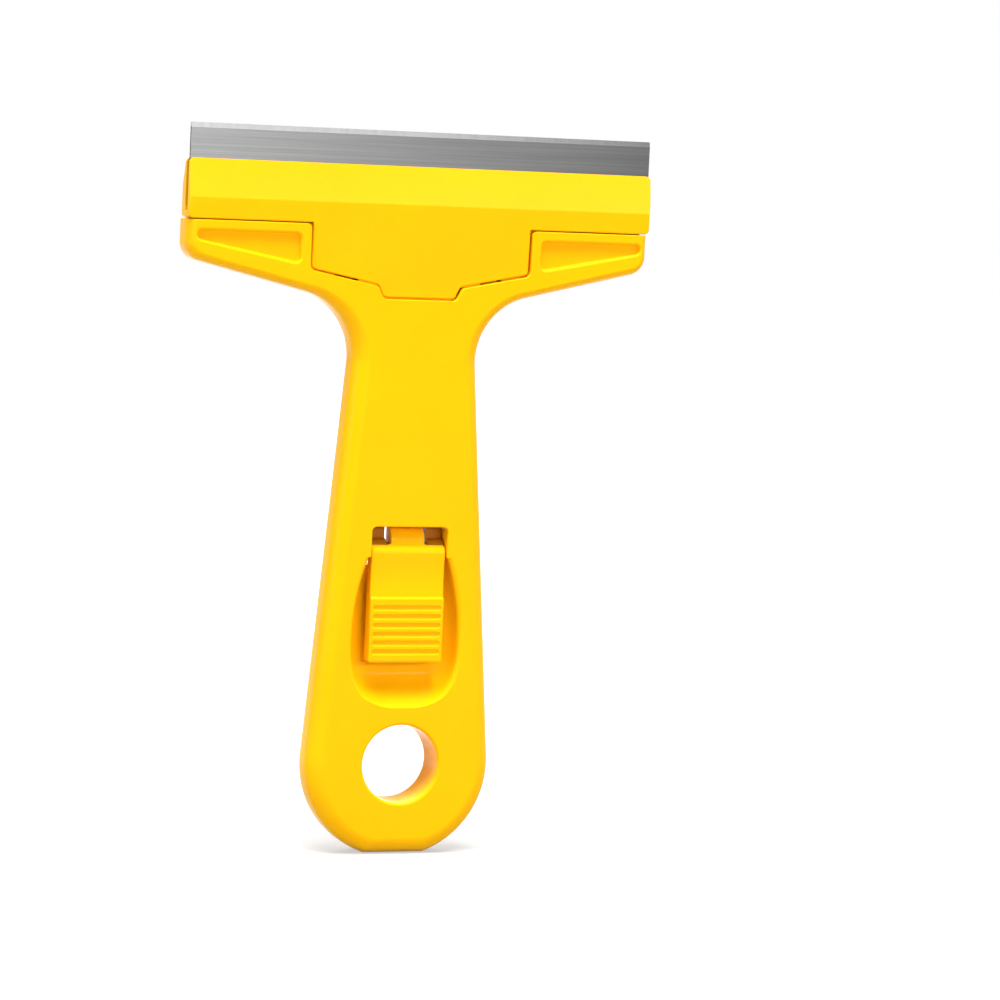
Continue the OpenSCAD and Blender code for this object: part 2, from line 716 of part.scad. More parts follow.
module lever() {
    half = lever_w / 2;
    color(yellow) difference() {
        union() {
            difference() {
                bar(-half, half) lever_outline();
                both_sides() x_rod(eye_room_r, leg_in_x - slide_gap, half + over, lever_pin_y, lever_pin_z);
            }
            intersection() {
                bar(-half, half) cam_outline();
                slab(-handle_t, handle_t) neck_front();
            }
        }
        for (i = [0:grooves - 1])
            x_rod(groove_r, -half - over, half + over, rib_front_y,
                  lever_low_z + groove_start + i * groove_pitch);
        x_rod(lever_pin_r + pin_gap, -half - over, half + over, lever_pin_y, lever_pin_z);
    }
}

// The return spring is one tube swept along a helix
spring_rings = 8;
spring_sides = 6;
module return_spring() {
    rise = spring_l - wire_d - 2 * cam_gap;
    last = spring_turns * spring_rings;
    points = [for (i = [0:last], j = [0:spring_sides - 1]) let (
            a = 360 * i / spring_rings,
            b = 360 * j / spring_sides,
            r = spring_r + wire_d / 2 * cos(b))
        [r * cos(a), r * sin(a), rise * i / last + wire_d / 2 * sin(b)]];
    sides = [for (i = [0:last - 1], j = [0:spring_sides - 1]) let (
            p = i * spring_sides + j,
            q = i * spring_sides + (j + 1) % spring_sides)
        each [[p, q, p + spring_sides], [q, q + spring_sides, p + spring_sides]]];
    color(steel) translate([0, jaw_pin_y, bridge_top_z + wire_d / 2 + cam_gap])
        polyhedron(points, concat(sides, [[for (j = [spring_sides - 1:-1:0]) j]],
            [[for (j = [0:spring_sides - 1]) last * spring_sides + j]]));
}

module blade() {
    half_t = blade_t / 2;
    color(bright_steel) bar(-blade_l / 2, blade_l / 2) translate([blade_y, blade_foot_z]) polygon([
        [-half_t, 0], [half_t, 0], [half_t, blade_w - bevel_h], [edge_t / 2, blade_w],
        [-edge_t / 2, blade_w], [-half_t, blade_w - bevel_h]
    ]);
}

handle_body();
rear_cover();
cover_screws();
rear_jaw();
front_jaw();
jaw_pin();
draw_bar();
lever_pin();
lever();
return_spring();
blade();
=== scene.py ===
"""Looks of the hand scraper: moulded shells, blade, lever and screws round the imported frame."""

import math

import bmesh
import bpy
from mathutils import Matrix, Vector

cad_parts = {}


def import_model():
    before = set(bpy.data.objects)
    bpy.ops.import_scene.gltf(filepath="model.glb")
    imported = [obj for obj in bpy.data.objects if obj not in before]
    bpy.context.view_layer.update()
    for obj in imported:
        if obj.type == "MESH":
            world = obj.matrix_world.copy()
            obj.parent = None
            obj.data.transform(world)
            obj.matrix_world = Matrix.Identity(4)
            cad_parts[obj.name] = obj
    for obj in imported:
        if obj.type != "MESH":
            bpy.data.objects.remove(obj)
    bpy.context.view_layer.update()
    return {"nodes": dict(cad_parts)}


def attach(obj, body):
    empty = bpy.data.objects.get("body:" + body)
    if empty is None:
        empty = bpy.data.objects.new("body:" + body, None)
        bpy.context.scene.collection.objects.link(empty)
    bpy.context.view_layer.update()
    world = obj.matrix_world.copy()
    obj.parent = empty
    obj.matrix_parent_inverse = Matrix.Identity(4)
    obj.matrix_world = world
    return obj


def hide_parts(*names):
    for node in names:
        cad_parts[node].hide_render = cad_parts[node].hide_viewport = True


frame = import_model()
MM = 0.001

# Sizes of the handle in millimetres, as in the part's source
HANDLE_H = 131.1
HANDLE_T = 9.8
EDGE_R = 3.6
ARM_EDGE_SHARE = 0.5
GRIP_R = 20.1
END_FLAT_W = 13
NECK_W = 25.2
NECK_FILLET_R = 13.8
ARM_END_H = 7.8
ARM_ROOT_H = 16.9
ARM_CORNER_R = 4
ARM_T = 6.6
ARM_INNER_R = 1.3
BOSS_W = 42.0
HOLE_R = 8.25
HOLE_RIM_R = 0.65
POCKET_D = 1.1
POCKET_INNER_GAP = 2.6
POCKET_OUTER_GAP = 2.0
POCKET_TOP_GAP = 2.1
POCKET_INNER_H = 6.1
POCKET_OUTER_H = 1.8
WINDOW_TOP = 68.89
WINDOW_H = 8.5
WINDOW_W = 16.6
WINDOW_CORNER_R = 1.0
DISH_HALF_W = 11.6
DISH_MID = 45.0
DISH_UPPER = 26.0
DISH_LOWER = 14.2
DISH_D = 5.2
DISH_RAMP = 7.68

# The head and the blade
BLADE_L = 100.0
BLADE_W = 18.0
BLADE_T = 0.5
BLADE_DEPTH = 2.0
BLADE_OUT = 7.2
BLADE_FOOT_H = 1.6
BEVEL_H = 1.05
EDGE_T = 0.06
JAW_OVERHANG = 0.2
HEAD_STEP = 0.1
HEAD_T = 6.4
JAW_FACE_H = 4.6
LIP_T = 0.65
REAR_LIP_T = 1.5
SHIELD_W = 47.3
SHIELD_SIDE_H = 9.1
SHIELD_TIP_W = 18.0
SHIELD_TIP_H = 12.0
SHIELD_FOOT_W = 15.5
SHIELD_FOOT_H = 14.6
SHIELD_CORNER_R = 1.0
SHIELD_T = 1.6
KEEL_H = 2.6
KEEL_ROOT = 1.1
KEEL_TIP = 0.6
KEEL_INSET = 2.7
KEEL_WALL = 0.9

# The lever, the bar, the pins and the rear cover
LEVER_W = 16.1
LEVER_LOW = 40.4
LEVER_T = 2.9
SHOULDER_GAP = 3.8
SHOULDER_R = 1.8
RIB_H = 0.6
GROOVES = 6
GROOVE_PITCH = 1.85
GROOVE_START = 2.3
LEVER_NECK_W = 7.2
LEVER_NECK_FILLET_R = 0.5
LEVER_PIN_R = 0.75
LEVER_PIN_DROP = 4.3
LEVER_PIN_DEPTH = 3.7
LEVER_SWING = 60
EYE_WALL = 0.9
BAR_LIFT = 1.4
BAR_DEPTH = 5.25
SHANK_W = 9.2
FORK_W = 16.0
LEG_W = 3.5
BRIDGE_H = 3.0
SPRING_L = 7.6
YOKE_H = 3.8
BAR_HEAD_W = 14.0
JAW_PIN_DROP = 10.1
JAW_PIN_R = 1.0
LUG_R = 2.1
FRONT_LUG_W = 6.0
REAR_LUG_W = 4.0
COVER_T = 1.8
COVER_W = 18.6
COVER_H = 57.11
COVER_CORNER_R = 2.0
SCREW_R = 1.1
SCREW_CONE_H = 0.9
SCREW_L = 6.2
SCREW_X = 7.1
SCREW_LEVELS = (88.99, 113.2)

# Gaps
SEAM = 0.25
SLIDE_GAP = 0.3
KEEL_GAP = 0.2
PIN_GAP = 0.04
HELD_GAP = 0.02
BLADE_GAP = 0.03
CAM_GAP = 0.05

# Roundings, hollows and ends that only the scene has
SEAT_RIM_R = 0.2
WINDOW_RIM_R = 0.3
POCKET_CORNER_R = 1.0
POCKET_RIM_R = 0.6
POCKET_FLOOR_R = 0.3
BOSS_CORNER_R = 1.2
BOSS_FILLET_R = 0.8
DISH_LOW_POWER = 2.6
DISH_SIDE_POWER = 3.6
DISH_RIM_R = 1.1
DISH_START_SHARE = 0.16
DISH_START_DEPTH = 0.3
DISH_INTO_WINDOW = 2.2
SHIELD_ROOM = 0.18
SHIELD_RIM_R = 0.16
PAD_IN_X = 46.0
PAD_OUT_X = 49.3
PAD_FRONT = -1.4
PAD_BACK = 1.2
PAD_H = 0.2
KEEL_MOUTH = 1.49
COVER_CHAMFER = 0.15
COVER_EDGE_R = 0.25
COVER_INNER_R = 0.05
FACE_LEAN = 1.05
LEAN_START = 0.4
LEAN_SKIN = 0.6
CREASE_R = 0.35
JAW_RIM_R = 0.3
JAW_BACK_RIM_R = 0.8
CLAMP_RIM_R = 0.2
JAW_TOP_CORNER_R = 1.0
JAW_FOOT_CORNER_R = 0.9
JAW_INNER_CORNER_R = 0.3
REAR_FOOT_CORNER_R = 0.5
SLOT_IN_X = 45
SLOT_OUT_X = 52
SLOT_FOOT_H = 1.7
SLOT_LAP = 0.1
SLOT_D = 1.2
RIB_RAMP = 0.45
HOLLOW_D = 0.22
GROOVE_R = 0.7
GROOVE_TIP_R = 0.02
GROOVE_OUT = 0.3
GROOVE_END_GAP = 0.45
LEVER_RIM_R = 0.3
LEVER_FOOT_R = 0.6
LEVER_CORNER = 1.0
NECK_FLARE = 0.55
NECK_DROP = 0.1
NECK_LOW = 62.0
NECK_TOP = 70.0
CAM_LOW = 62.5
CAM_BACK_DROP = 0.4
SCREW_HOLE_R = 1.12
SCREW_MOUTH_R = 2.02
THREAD_CORE_R = 0.85
THREAD_PITCH = 0.55
THREAD_START = 5.4
CROSS_L = 2.3
CROSS_W = 0.5
CROSS_D = 0.85
BLADE_RIM_R = 0.03

# Places worked out from them: X to the right, Y to the back, Z up
OVER = 1.0
SEAT = HANDLE_H
FRONT = -HANDLE_T / 2
BACK = HANDLE_T / 2
ARM_BACK = FRONT + ARM_T
GRIP_Z = math.sqrt(GRIP_R ** 2 - (END_FLAT_W / 2) ** 2)
WINDOW_LOW = WINDOW_TOP - WINDOW_H
HEAD_W = BLADE_L + 2 * JAW_OVERHANG
JAW_H = BLADE_FOOT_H + BLADE_W - BLADE_OUT
LIP = SEAT + JAW_H
CREASE = SEAT + JAW_FACE_H
JAW_FRONT = FRONT + HEAD_STEP
JAW_BACK = JAW_FRONT + HEAD_T
BLADE_Y = FRONT + BLADE_DEPTH
BLADE_FOOT = SEAT + BLADE_FOOT_H
CLAMP_FRONT = BLADE_Y - BLADE_T / 2 - BLADE_GAP
CLAMP_BACK = BLADE_Y + BLADE_T / 2 + BLADE_GAP
MEET_Y = CLAMP_FRONT + 2 * HELD_GAP
SHIELD_BACK = JAW_FRONT + SHIELD_T
RECESS_Y = SHIELD_BACK + SEAM + SLIDE_GAP / 2
KEEL_Y = ARM_BACK - KEEL_WALL - KEEL_GAP - KEEL_ROOT
KEEL_HALF_L = HEAD_W / 2 - KEEL_INSET
PIN_Y = FRONT + BAR_DEPTH
PIN_Z = SEAT - JAW_PIN_DROP
FRONT_LUG_X = BAR_HEAD_W / 2 + SLIDE_GAP
REAR_LUG_X = FRONT_LUG_X + FRONT_LUG_W + SLIDE_GAP
PIN_HALF_L = REAR_LUG_X + REAR_LUG_W
WEB_LOW = PIN_Z + LUG_R + SLIDE_GAP
CHANNEL_FRONT = PIN_Y - LUG_R - SLIDE_GAP
BRIDGE_TOP = WINDOW_TOP + BRIDGE_H
FORK_ROOM_TOP = BRIDGE_TOP + SPRING_L + YOKE_H + BAR_LIFT + SLIDE_GAP
LEG_ROOM_IN_X = FORK_W / 2 - LEG_W - SLIDE_GAP
LEG_ROOM_OUT_X = FORK_W / 2 + SLIDE_GAP / 2
LEVER_TOP = WINDOW_TOP - SHOULDER_GAP
LEVER_FRONT = FRONT + RIB_H
LEVER_BACK = LEVER_FRONT + LEVER_T
LEVER_PIN_Y = FRONT + LEVER_PIN_DEPTH
LEVER_PIN_Z = WINDOW_TOP - LEVER_PIN_DROP
GROOVE_LOW = LEVER_LOW + GROOVE_START
RIB_TOP = GROOVE_LOW + GROOVES * GROOVE_PITCH
HOLLOW_H = LEVER_TOP - SHOULDER_R - RIB_TOP - RIB_RAMP
EYE_R = LEVER_PIN_R + EYE_WALL
CAM_H = LEVER_PIN_DROP - CAM_GAP
CAM_FALL = BAR_LIFT / math.radians(LEVER_SWING)
COVER_Y = BACK - COVER_T
COVER_LOW = WINDOW_TOP + SEAM

# Steps of the round shapes, and how near a point counts as on a line
RIM_STEPS = 5
GRIP_STEPS = 72
FILLET_STEPS = 30
ARM_CORNER_STEPS = 10
DISH_STEPS = 90
DISH_WALL_STEPS = 22
LEVER_FACE_STEPS = 14
HOLE_SIDES = 120
SCREW_SIDES = 40
GROOVE_SIDES = 28
NEAR = 0.02


# Outlines are lists of (u, v) points, counter-clockwise
def arc(centre, r, a, b, steps, gain=0.0):
    """Points on an arc, angles in radians; the radius grows by the gain along it."""
    out = []
    for i in range(steps + 1):
        angle = a + (b - a) * i / steps
        reach = r + gain * i / steps
        out.append((centre[0] + reach * math.cos(angle), centre[1] + reach * math.sin(angle)))
    return out


def circle(centre, r, sides):
    return arc(centre, r, 0, 2 * math.pi * (1 - 1 / sides), sides - 1)


def rectangle(left, low, right, high):
    return [(left, low), (right, low), (right, high), (left, high)]


def mirrored(half):
    """A closed outline from its right half, listed upwards."""
    return half + [(-u, v) for u, v in reversed(half)]


def rounded(points, r, steps=6):
    """A polygon with each corner replaced by an arc; r is one radius, or a list with one per corner."""
    radii = r if isinstance(r, list) else [r] * len(points)
    out = []
    for i, corner in enumerate(points):
        c = Vector(corner)
        if radii[i] == 0:
            out.append(tuple(c))
            continue
        before = Vector(points[i - 1]) - c
        after = Vector(points[(i + 1) % len(points)]) - c
        a, b = before.normalized(), after.normalized()
        half = math.acos(max(-1.0, min(1.0, a.dot(b)))) / 2
        # An arc takes up a little less than half of the shorter side
        reach = min(radii[i] / math.tan(half), 0.49 * min(before.length, after.length))
        centre = c + (a + b).normalized() * (reach * math.tan(half) / math.sin(half))
        start = c + a * reach - centre
        turn = start.angle_signed(c + b * reach - centre)
        for k in range(steps + 1):
            angle = -turn * k / steps
            out.append((centre.x + start.x * math.cos(angle) - start.y * math.sin(angle),
                        centre.y + start.x * math.sin(angle) + start.y * math.cos(angle)))
    return out


def rounded_halves(half, radii):
    """A symmetric outline from its right half and the radii of that half's corners."""
    return rounded(mirrored(half), radii + radii[::-1])


def offset(points, d):
    """The outline moved outwards by d, point by point."""
    if abs(d) < 1e-9:
        return list(points)
    out = []
    n = len(points)
    for i, p in enumerate(points):
        before = (Vector(p) - Vector(points[i - 1])).normalized()
        after = (Vector(points[(i + 1) % n]) - Vector(p)).normalized()
        mid = Vector((before.y, -before.x)) + Vector((after.y, -after.x))
        # A sharp corner moves less than three times as far as a straight side
        scale = d * 2 / max(mid.length_squared, 0.5)
        out.append((p[0] + mid.x * scale, p[1] + mid.y * scale))
    return out


def quarter(steps):
    """A quarter turn as pairs (1 - sine, 1 - cosine), from a face round to the side."""
    angles = [math.pi / 2 * i / steps for i in range(steps + 1)]
    return [(1 - math.sin(a), 1 - math.cos(a)) for a in angles]


def both_sides(inner, outer):
    """A stretch of X on the right of the middle, and its mirror image."""
    return [(inner, outer), (-outer, -inner)]


def clamped(t):
    return max(0.0, min(1.0, t))


def eased(t):
    """Goes from 0 to 1 with no slope at either end."""
    t = clamped(t)
    return t * t * (3 - 2 * t)


# Solids
AXES = {"x": lambda u, v, t: (t, u, v), "y": lambda u, v, t: (u, t, v), "z": lambda u, v, t: (u, v, t)}


def to_object(name, bm):
    bmesh.ops.recalc_face_normals(bm, faces=bm.faces)
    mesh = bpy.data.meshes.new(name)
    bm.to_mesh(mesh)
    bm.free()
    piece = bpy.data.objects.new(name, mesh)
    bpy.context.collection.objects.link(piece)
    return piece


def ring_solid(name, rings, along="y"):
    """A closed solid through outlines of the same count; each ring is (points, place on the axis), in mm."""
    bm = bmesh.new()
    place = AXES[along]
    rows = [[bm.verts.new([c * MM for c in place(u, v, t)]) for u, v in points] for points, t in rings]
    n = len(rows[0])
    for low, high in zip(rows, rows[1:]):
        for j in range(n):
            bm.faces.new((low[j], low[(j + 1) % n], high[(j + 1) % n], high[j]))
    bm.faces.new(rows[0])
    bm.faces.new(rows[-1])
    return to_object(name, bm)


def bar(name, points, half_l):
    """A solid of one cross section along X, from -half_l to half_l."""
    return ring_solid(name, [(points, -half_l), (points, half_l)], "x")


def slab_rings(outline, low, high, r_low, r_high, steps=RIM_STEPS):
    """Rings of a slab whose two rims are rounded; outline is a function of the inset."""
    turn = quarter(steps)
    rings = [(outline(r_low * s), low + r_low * c) for s, c in turn]
    return rings + [(outline(r_high * s), high - r_high * c) for s, c in reversed(turn)]


def slab(name, points, low, high, r_low, r_high, along="y", steps=RIM_STEPS):
    rings = slab_rings(lambda inset: offset(points, -inset), low, high, r_low, r_high, steps)
    return ring_solid(name, rings, along)


def front_cutter(points, rim, depth=None, floor_r=0.0):
    """Goes in at the front of the handle and leaves a rounded rim; with no depth it goes through."""
    turn = quarter(RIM_STEPS)
    rings = [(offset(points, rim), FRONT - OVER)]
    rings += [(offset(points, rim * s), FRONT + rim * c) for s, c in turn]
    if depth is None:
        rings += [(offset(points, rim * s), BACK - rim * c) for s, c in reversed(turn)]
        rings.append((offset(points, rim), BACK + OVER))
    elif floor_r == 0:
        rings.append((points, FRONT + depth))
    else:
        rings += [(offset(points, -floor_r * c), FRONT + depth - floor_r * s) for s, c in turn]
    return ring_solid("cutter", rings)


def block(low, high):
    corners = rectangle(low[0], low[2], high[0], high[2])
    return ring_solid("cutter", [(corners, low[1]), (corners, high[1])])


def rod(r, x0, x1, y, z, sides=48):
    """A round bar along X."""
    section = circle((y, z), r, sides)
    return ring_solid("cutter", [(section, x0), (section, x1)], "x")


def combine(piece, other, operation):
    """A boolean on piece with other, which is used up."""
    modifier = piece.modifiers.new("bool", "BOOLEAN")
    modifier.operation = operation
    modifier.solver = "EXACT"
    modifier.object = other
    graph = bpy.context.evaluated_depsgraph_get()
    mesh = bpy.data.meshes.new_from_object(piece.evaluated_get(graph))
    piece.modifiers.clear()
    old = piece.data
    piece.data = mesh
    bpy.data.meshes.remove(old)
    used = other.data
    bpy.data.objects.remove(other)
    bpy.data.meshes.remove(used)


def cut(piece, *others):
    for other in others:
        combine(piece, other, "DIFFERENCE")


def join(piece, *others):
    for other in others:
        combine(piece, other, "UNION")


def plane_cut(piece, point, normal):
    """Takes away what lies on the normal's side of a plane, and closes the cut."""
    bm = bmesh.new()
    bm.from_mesh(piece.data)
    result = bmesh.ops.bisect_plane(bm, geom=bm.verts[:] + bm.edges[:] + bm.faces[:], dist=1e-7,
                                    plane_co=Vector(point) * MM, plane_no=normal, clear_outer=True)
    edges = [e for e in result["geom_cut"] if isinstance(e, bmesh.types.BMEdge)]
    bmesh.ops.contextual_create(bm, geom=edges)
    bm.to_mesh(piece.data)
    bm.free()


def soften(piece, width, test, segments=3, least=0.3):
    """Bevels the edges that the test picks by their ends in mm; least is the smallest turn, in radians."""
    bm = bmesh.new()
    bm.from_mesh(piece.data)
    edges = [e for e in bm.edges
             if e.calc_face_angle(0) > least and test(e.verts[0].co / MM, e.verts[1].co / MM)]
    bmesh.ops.bevel(bm, geom=edges, offset=width * MM, segments=segments, affect="EDGES", profile=0.5)
    bm.to_mesh(piece.data)
    bm.free()


def shade(piece, angle=38):
    """Smooth shading, with the edges that turn by more than the angle in degrees kept sharp."""
    bm = bmesh.new()
    bm.from_mesh(piece.data)
    bmesh.ops.remove_doubles(bm, verts=bm.verts, dist=2e-6)
    bmesh.ops.dissolve_degenerate(bm, dist=1e-6, edges=bm.edges)
    for face in bm.faces:
        face.smooth = True
    for edge in bm.edges:
        edge.smooth = edge.calc_face_angle(0) < math.radians(angle)
    bm.to_mesh(piece.data)
    bm.free()
    modifier = piece.modifiers.new("normals", "WEIGHTED_NORMAL")
    modifier.keep_sharp = True
    modifier.weight = 80
    return piece


# Materials: colours are linear, and the distance of a bump is in metres
EVEN = (1, 1, 1)
NEAR_WHITE = (1, 1, 0.995)


def grey(level):
    return (level, level, level)


def principled(name, base, roughness, metallic=0.0):
    material = bpy.data.materials.new(name)
    material.use_nodes = True
    shader = material.node_tree.nodes["Principled BSDF"]
    shader.inputs["Base Color"].default_value = (*base, 1)
    shader.inputs["Roughness"].default_value = roughness
    shader.inputs["Metallic"].default_value = metallic
    return material, shader


class Nodes:
    """Short names for building a node tree."""

    def __init__(self, owner):
        self.tree = owner.node_tree

    def add(self, kind, **values):
        node = self.tree.nodes.new(kind)
        for key, value in values.items():
            setattr(node, key, value)
        return node

    def link(self, a, b):
        self.tree.links.new(a, b)

    def place(self, scale):
        """The object's own coordinates, stretched."""
        source = self.add("ShaderNodeTexCoord")
        mapping = self.add("ShaderNodeMapping")
        mapping.inputs["Scale"].default_value = scale
        self.link(source.outputs["Object"], mapping.inputs["Vector"])
        return mapping.outputs["Vector"]

    def noise(self, vector, scale, detail=3, rough=0.5):
        node = self.add("ShaderNodeTexNoise")
        node.inputs["Scale"].default_value = scale
        node.inputs["Detail"].default_value = detail
        node.inputs["Roughness"].default_value = rough
        self.link(vector, node.inputs["Vector"])
        return node.outputs["Fac"]

    def ramp(self, value, stops):
        """A colour that changes with the value; each stop is (value, colour)."""
        node = self.add("ShaderNodeValToRGB")
        ends = node.color_ramp.elements
        for element, (place, colour) in ((ends[0], stops[0]), (ends[1], stops[-1])):
            element.position = place
            element.color = (*colour, 1)
        for place, colour in stops[1:-1]:
            ends.new(place).color = (*colour, 1)
        self.link(value, node.inputs["Fac"])
        return node.outputs["Color"]

    def drift(self, noise, low, high):
        """A colour between low and high that follows a noise."""
        return self.ramp(noise, [(0.3, low), (0.7, high)])

    def range(self, value, low, high, start=0.0, end=1.0, kind="LINEAR"):
        """Goes from low to high as the value goes from start to end."""
        node = self.add("ShaderNodeMapRange", interpolation_type=kind)
        for name, limit in (("From Min", start), ("From Max", end), ("To Min", low), ("To Max", high)):
            node.inputs[name].default_value = limit
        self.link(value, node.inputs["Value"])
        return node.outputs["Result"]

    def reflection_painted_along_blade(self, left, middle, right):
        """A painted reflection: a grey that changes from the left end of the blade over its middle to its
        right end, bright where the blade's reflection of its surroundings is bright.
        """
        source = self.add("ShaderNodeTexCoord")
        split = self.add("ShaderNodeSeparateXYZ")
        self.link(source.outputs["Object"], split.inputs[0])
        share = self.range(split.outputs["X"], 0, 1, -BLADE_L / 2 * MM, BLADE_L / 2 * MM)
        return self.ramp(share, [(0, grey(left)), (0.5, grey(middle)), (1, grey(right))])

    def product(self, a, b):
        node = self.add("ShaderNodeMix", data_type="RGBA", blend_type="MULTIPLY")
        # A mix node has a set of sockets for each kind of data: these are the ones for colour
        node.inputs[0].default_value = 1
        self.link(a, node.inputs[6])
        self.link(b, node.inputs[7])
        return node.outputs[2]

    def calculate(self, operation, a, b):
        node = self.add("ShaderNodeMath", operation=operation)
        self.link(a, node.inputs[0])
        self.link(b, node.inputs[1])
        return node.outputs[0]

    def surface(self, shader, colour, roughness, height, strength, distance):
        """Gives the shader its colour and roughness, and bumps as high as a noise says."""
        bump = self.add("ShaderNodeBump")
        bump.inputs["Strength"].default_value = strength
        bump.inputs["Distance"].default_value = distance
        self.link(height, bump.inputs["Height"])
        self.link(colour, shader.inputs["Base Color"])
        self.link(roughness, shader.inputs["Roughness"])
        self.link(bump.outputs["Normal"], shader.inputs["Normal"])


def yellow_plastic():
    material, shader = principled("moulded_yellow", (0.98, 0.49, 0.002), roughness=0.3)
    nodes = Nodes(material)
    plain = nodes.place(EVEN)
    nodes.surface(
        shader,
        colour=nodes.drift(nodes.noise(plain, scale=60, detail=2), (0.97, 0.48, 0.002), (0.985, 0.5, 0.002)),
        roughness=nodes.range(nodes.noise(plain, scale=350), 0.13, 0.17),
        height=nodes.noise(plain, scale=2600, detail=2, rough=0.6), strength=0.12, distance=0.00004)
    shader.inputs["Specular IOR Level"].default_value = 0.04
    shader.inputs["Subsurface Weight"].default_value = 0.12
    shader.inputs["Subsurface Radius"].default_value = (0.9, 0.45, 0.08)
    shader.inputs["Subsurface Scale"].default_value = 0.0012
    return material


# Painted shade: a dark orange for the draw bar, standing in for the yellow plastic in the deep shade inside
# the window
def painted_shade_plastic():
    material, shader = principled("draw_bar_painted_shade", (0.4, 0.14, 0.002), roughness=0.4)
    nodes = Nodes(material)
    cloud = nodes.noise(nodes.place(EVEN), scale=300)
    nodes.surface(
        shader,
        colour=nodes.drift(cloud, (0.36, 0.125, 0.002), (0.42, 0.15, 0.003)),
        roughness=nodes.range(cloud, 0.36, 0.46),
        height=cloud, strength=0.1, distance=0.00003)
    shader.inputs["Specular IOR Level"].default_value = 0.1
    return material


# Painted shade: near black and not metallic, the blade's sheared ends stand in for the dark line of shade at
# the ends of the head
def painted_shade_blade_ends():
    material, shader = principled("blade_end_painted_shade", grey(0.008), roughness=0.65)
    nodes = Nodes(material)
    grit = nodes.noise(nodes.place((60, 900, 60)), scale=3)
    nodes.surface(
        shader,
        colour=nodes.drift(grit, grey(0.005), grey(0.012)),
        roughness=nodes.range(grit, 0.6, 0.75),
        height=grit, strength=0.1, distance=0.00001)
    shader.inputs["Specular IOR Level"].default_value = 0.1
    return material


def blade_steel():
    material, shader = principled("brushed_blade_painted_reflection", grey(0.32), roughness=0.34, metallic=1.0)
    nodes = Nodes(material)
    brushed = nodes.noise(nodes.place((6, 40, 1100)), scale=4, detail=4, rough=0.65)
    fine = nodes.noise(nodes.place((18, 60, 4200)), scale=3, rough=0.6)
    nodes.surface(
        shader,
        # The brushed grain, times a painted reflection that darkens from the left end of the blade to the
        # right
        colour=nodes.product(nodes.drift(brushed, grey(0.74), NEAR_WHITE),
                             nodes.reflection_painted_along_blade(0.175, 0.112, 0.066)),
        roughness=nodes.range(fine, 0.26, 0.44),
        height=brushed, strength=0.25, distance=0.00002)
    return material


def ground_steel():
    material, shader = principled("ground_edge_painted_reflection", grey(0.5), roughness=0.3, metallic=1.0)
    nodes = Nodes(material)
    grit = nodes.noise(nodes.place((700, 60, 60)), scale=2, rough=0.6)
    nodes.surface(
        shader,
        # The grit, times a painted reflection that darkens from the left end of the edge to the right
        colour=nodes.product(nodes.drift(grit, grey(0.93), NEAR_WHITE), nodes.reflection_painted_along_blade(0.4, 0.31, 0.14)),
        roughness=nodes.range(grit, 0.26, 0.34),
        height=grit, strength=0.05, distance=0.000005)
    return material


def zinc_steel():
    material, shader = principled("bright_zinc", (0.6, 0.6, 0.62), roughness=0.3, metallic=1.0)
    nodes = Nodes(material)
    cloud = nodes.noise(nodes.place(EVEN), scale=700)
    nodes.surface(
        shader,
        colour=nodes.drift(cloud, (0.54, 0.55, 0.56), (0.66, 0.66, 0.68)),
        roughness=nodes.range(cloud, 0.24, 0.38),
        height=cloud, strength=0.1, distance=0.00002)
    return material


YELLOW = yellow_plastic()
BLADE = blade_steel()
GROUND = ground_steel()
ZINC = zinc_steel()
PAINTED_SHADE_ORANGE = painted_shade_plastic()
BLADE_END_SHADE = painted_shade_blade_ends()


def dress(piece, material, body, *nodes):
    """Gives a finished piece its material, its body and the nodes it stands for."""
    if not piece.data.materials:
        piece.data.materials.append(material)
    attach(piece, body)
    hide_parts(*nodes)


# Handle
def handle_outline(inset):
    """Three arcs a side that keep their centres whatever the inset."""
    slope = math.atan2(ARM_ROOT_H - ARM_END_H, (HEAD_W - NECK_W) / 2)
    under = slope - math.pi / 2
    root = (NECK_W / 2, SEAT - ARM_ROOT_H)
    rise = root[1] - GRIP_Z
    flank = math.atan2(rise, root[0]) - math.acos(GRIP_R / math.hypot(root[0], rise))

    def meet(a, p, b, q):
        det = math.sin(b - a)
        return ((p * math.sin(b) - q * math.sin(a)) / det, (q * math.cos(a) - p * math.cos(b)) / det)

    def along(a, point):
        return math.cos(a) * point[0] + math.sin(a) * point[1]

    fillet = meet(flank, along(flank, root) + NECK_FILLET_R, under, along(under, root) + NECK_FILLET_R)
    end = (HEAD_W / 2, SEAT - ARM_END_H)
    corner = meet(0, HEAD_W / 2 - ARM_CORNER_R, under, along(under, end) - ARM_CORNER_R)
    start = math.asin((inset - GRIP_Z) / (GRIP_R - inset))
    arm_inset = inset * ARM_EDGE_SHARE
    half = (arc((0, GRIP_Z), GRIP_R - inset, start, flank, GRIP_STEPS)
            + arc(fillet, -NECK_FILLET_R - inset, flank, under, FILLET_STEPS, inset - arm_inset)
            + arc(corner, ARM_CORNER_R - arm_inset, under, 0, ARM_CORNER_STEPS)
            + [(HEAD_W / 2 - arm_inset, SEAT)])
    return mirrored(half)


def shield_half():
    """The right half of the shield below the head, listed upwards."""
    return [(SHIELD_FOOT_W / 2, SEAT - SHIELD_FOOT_H), (SHIELD_TIP_W / 2, SEAT - SHIELD_TIP_H),
            (SHIELD_W / 2, SEAT - SHIELD_SIDE_H)]


def shield_recess():
    """Cuts the bed of the shield, a seam wider than the shield and open at the seat."""
    half = shield_half() + [(SHIELD_W / 2, SEAT + 3 * OVER)]
    outline = offset(rounded_halves(half, [SHIELD_CORNER_R] * 3 + [0]), SEAM + SHIELD_ROOM)
    return front_cutter(outline, SHIELD_RIM_R, RECESS_Y - FRONT)


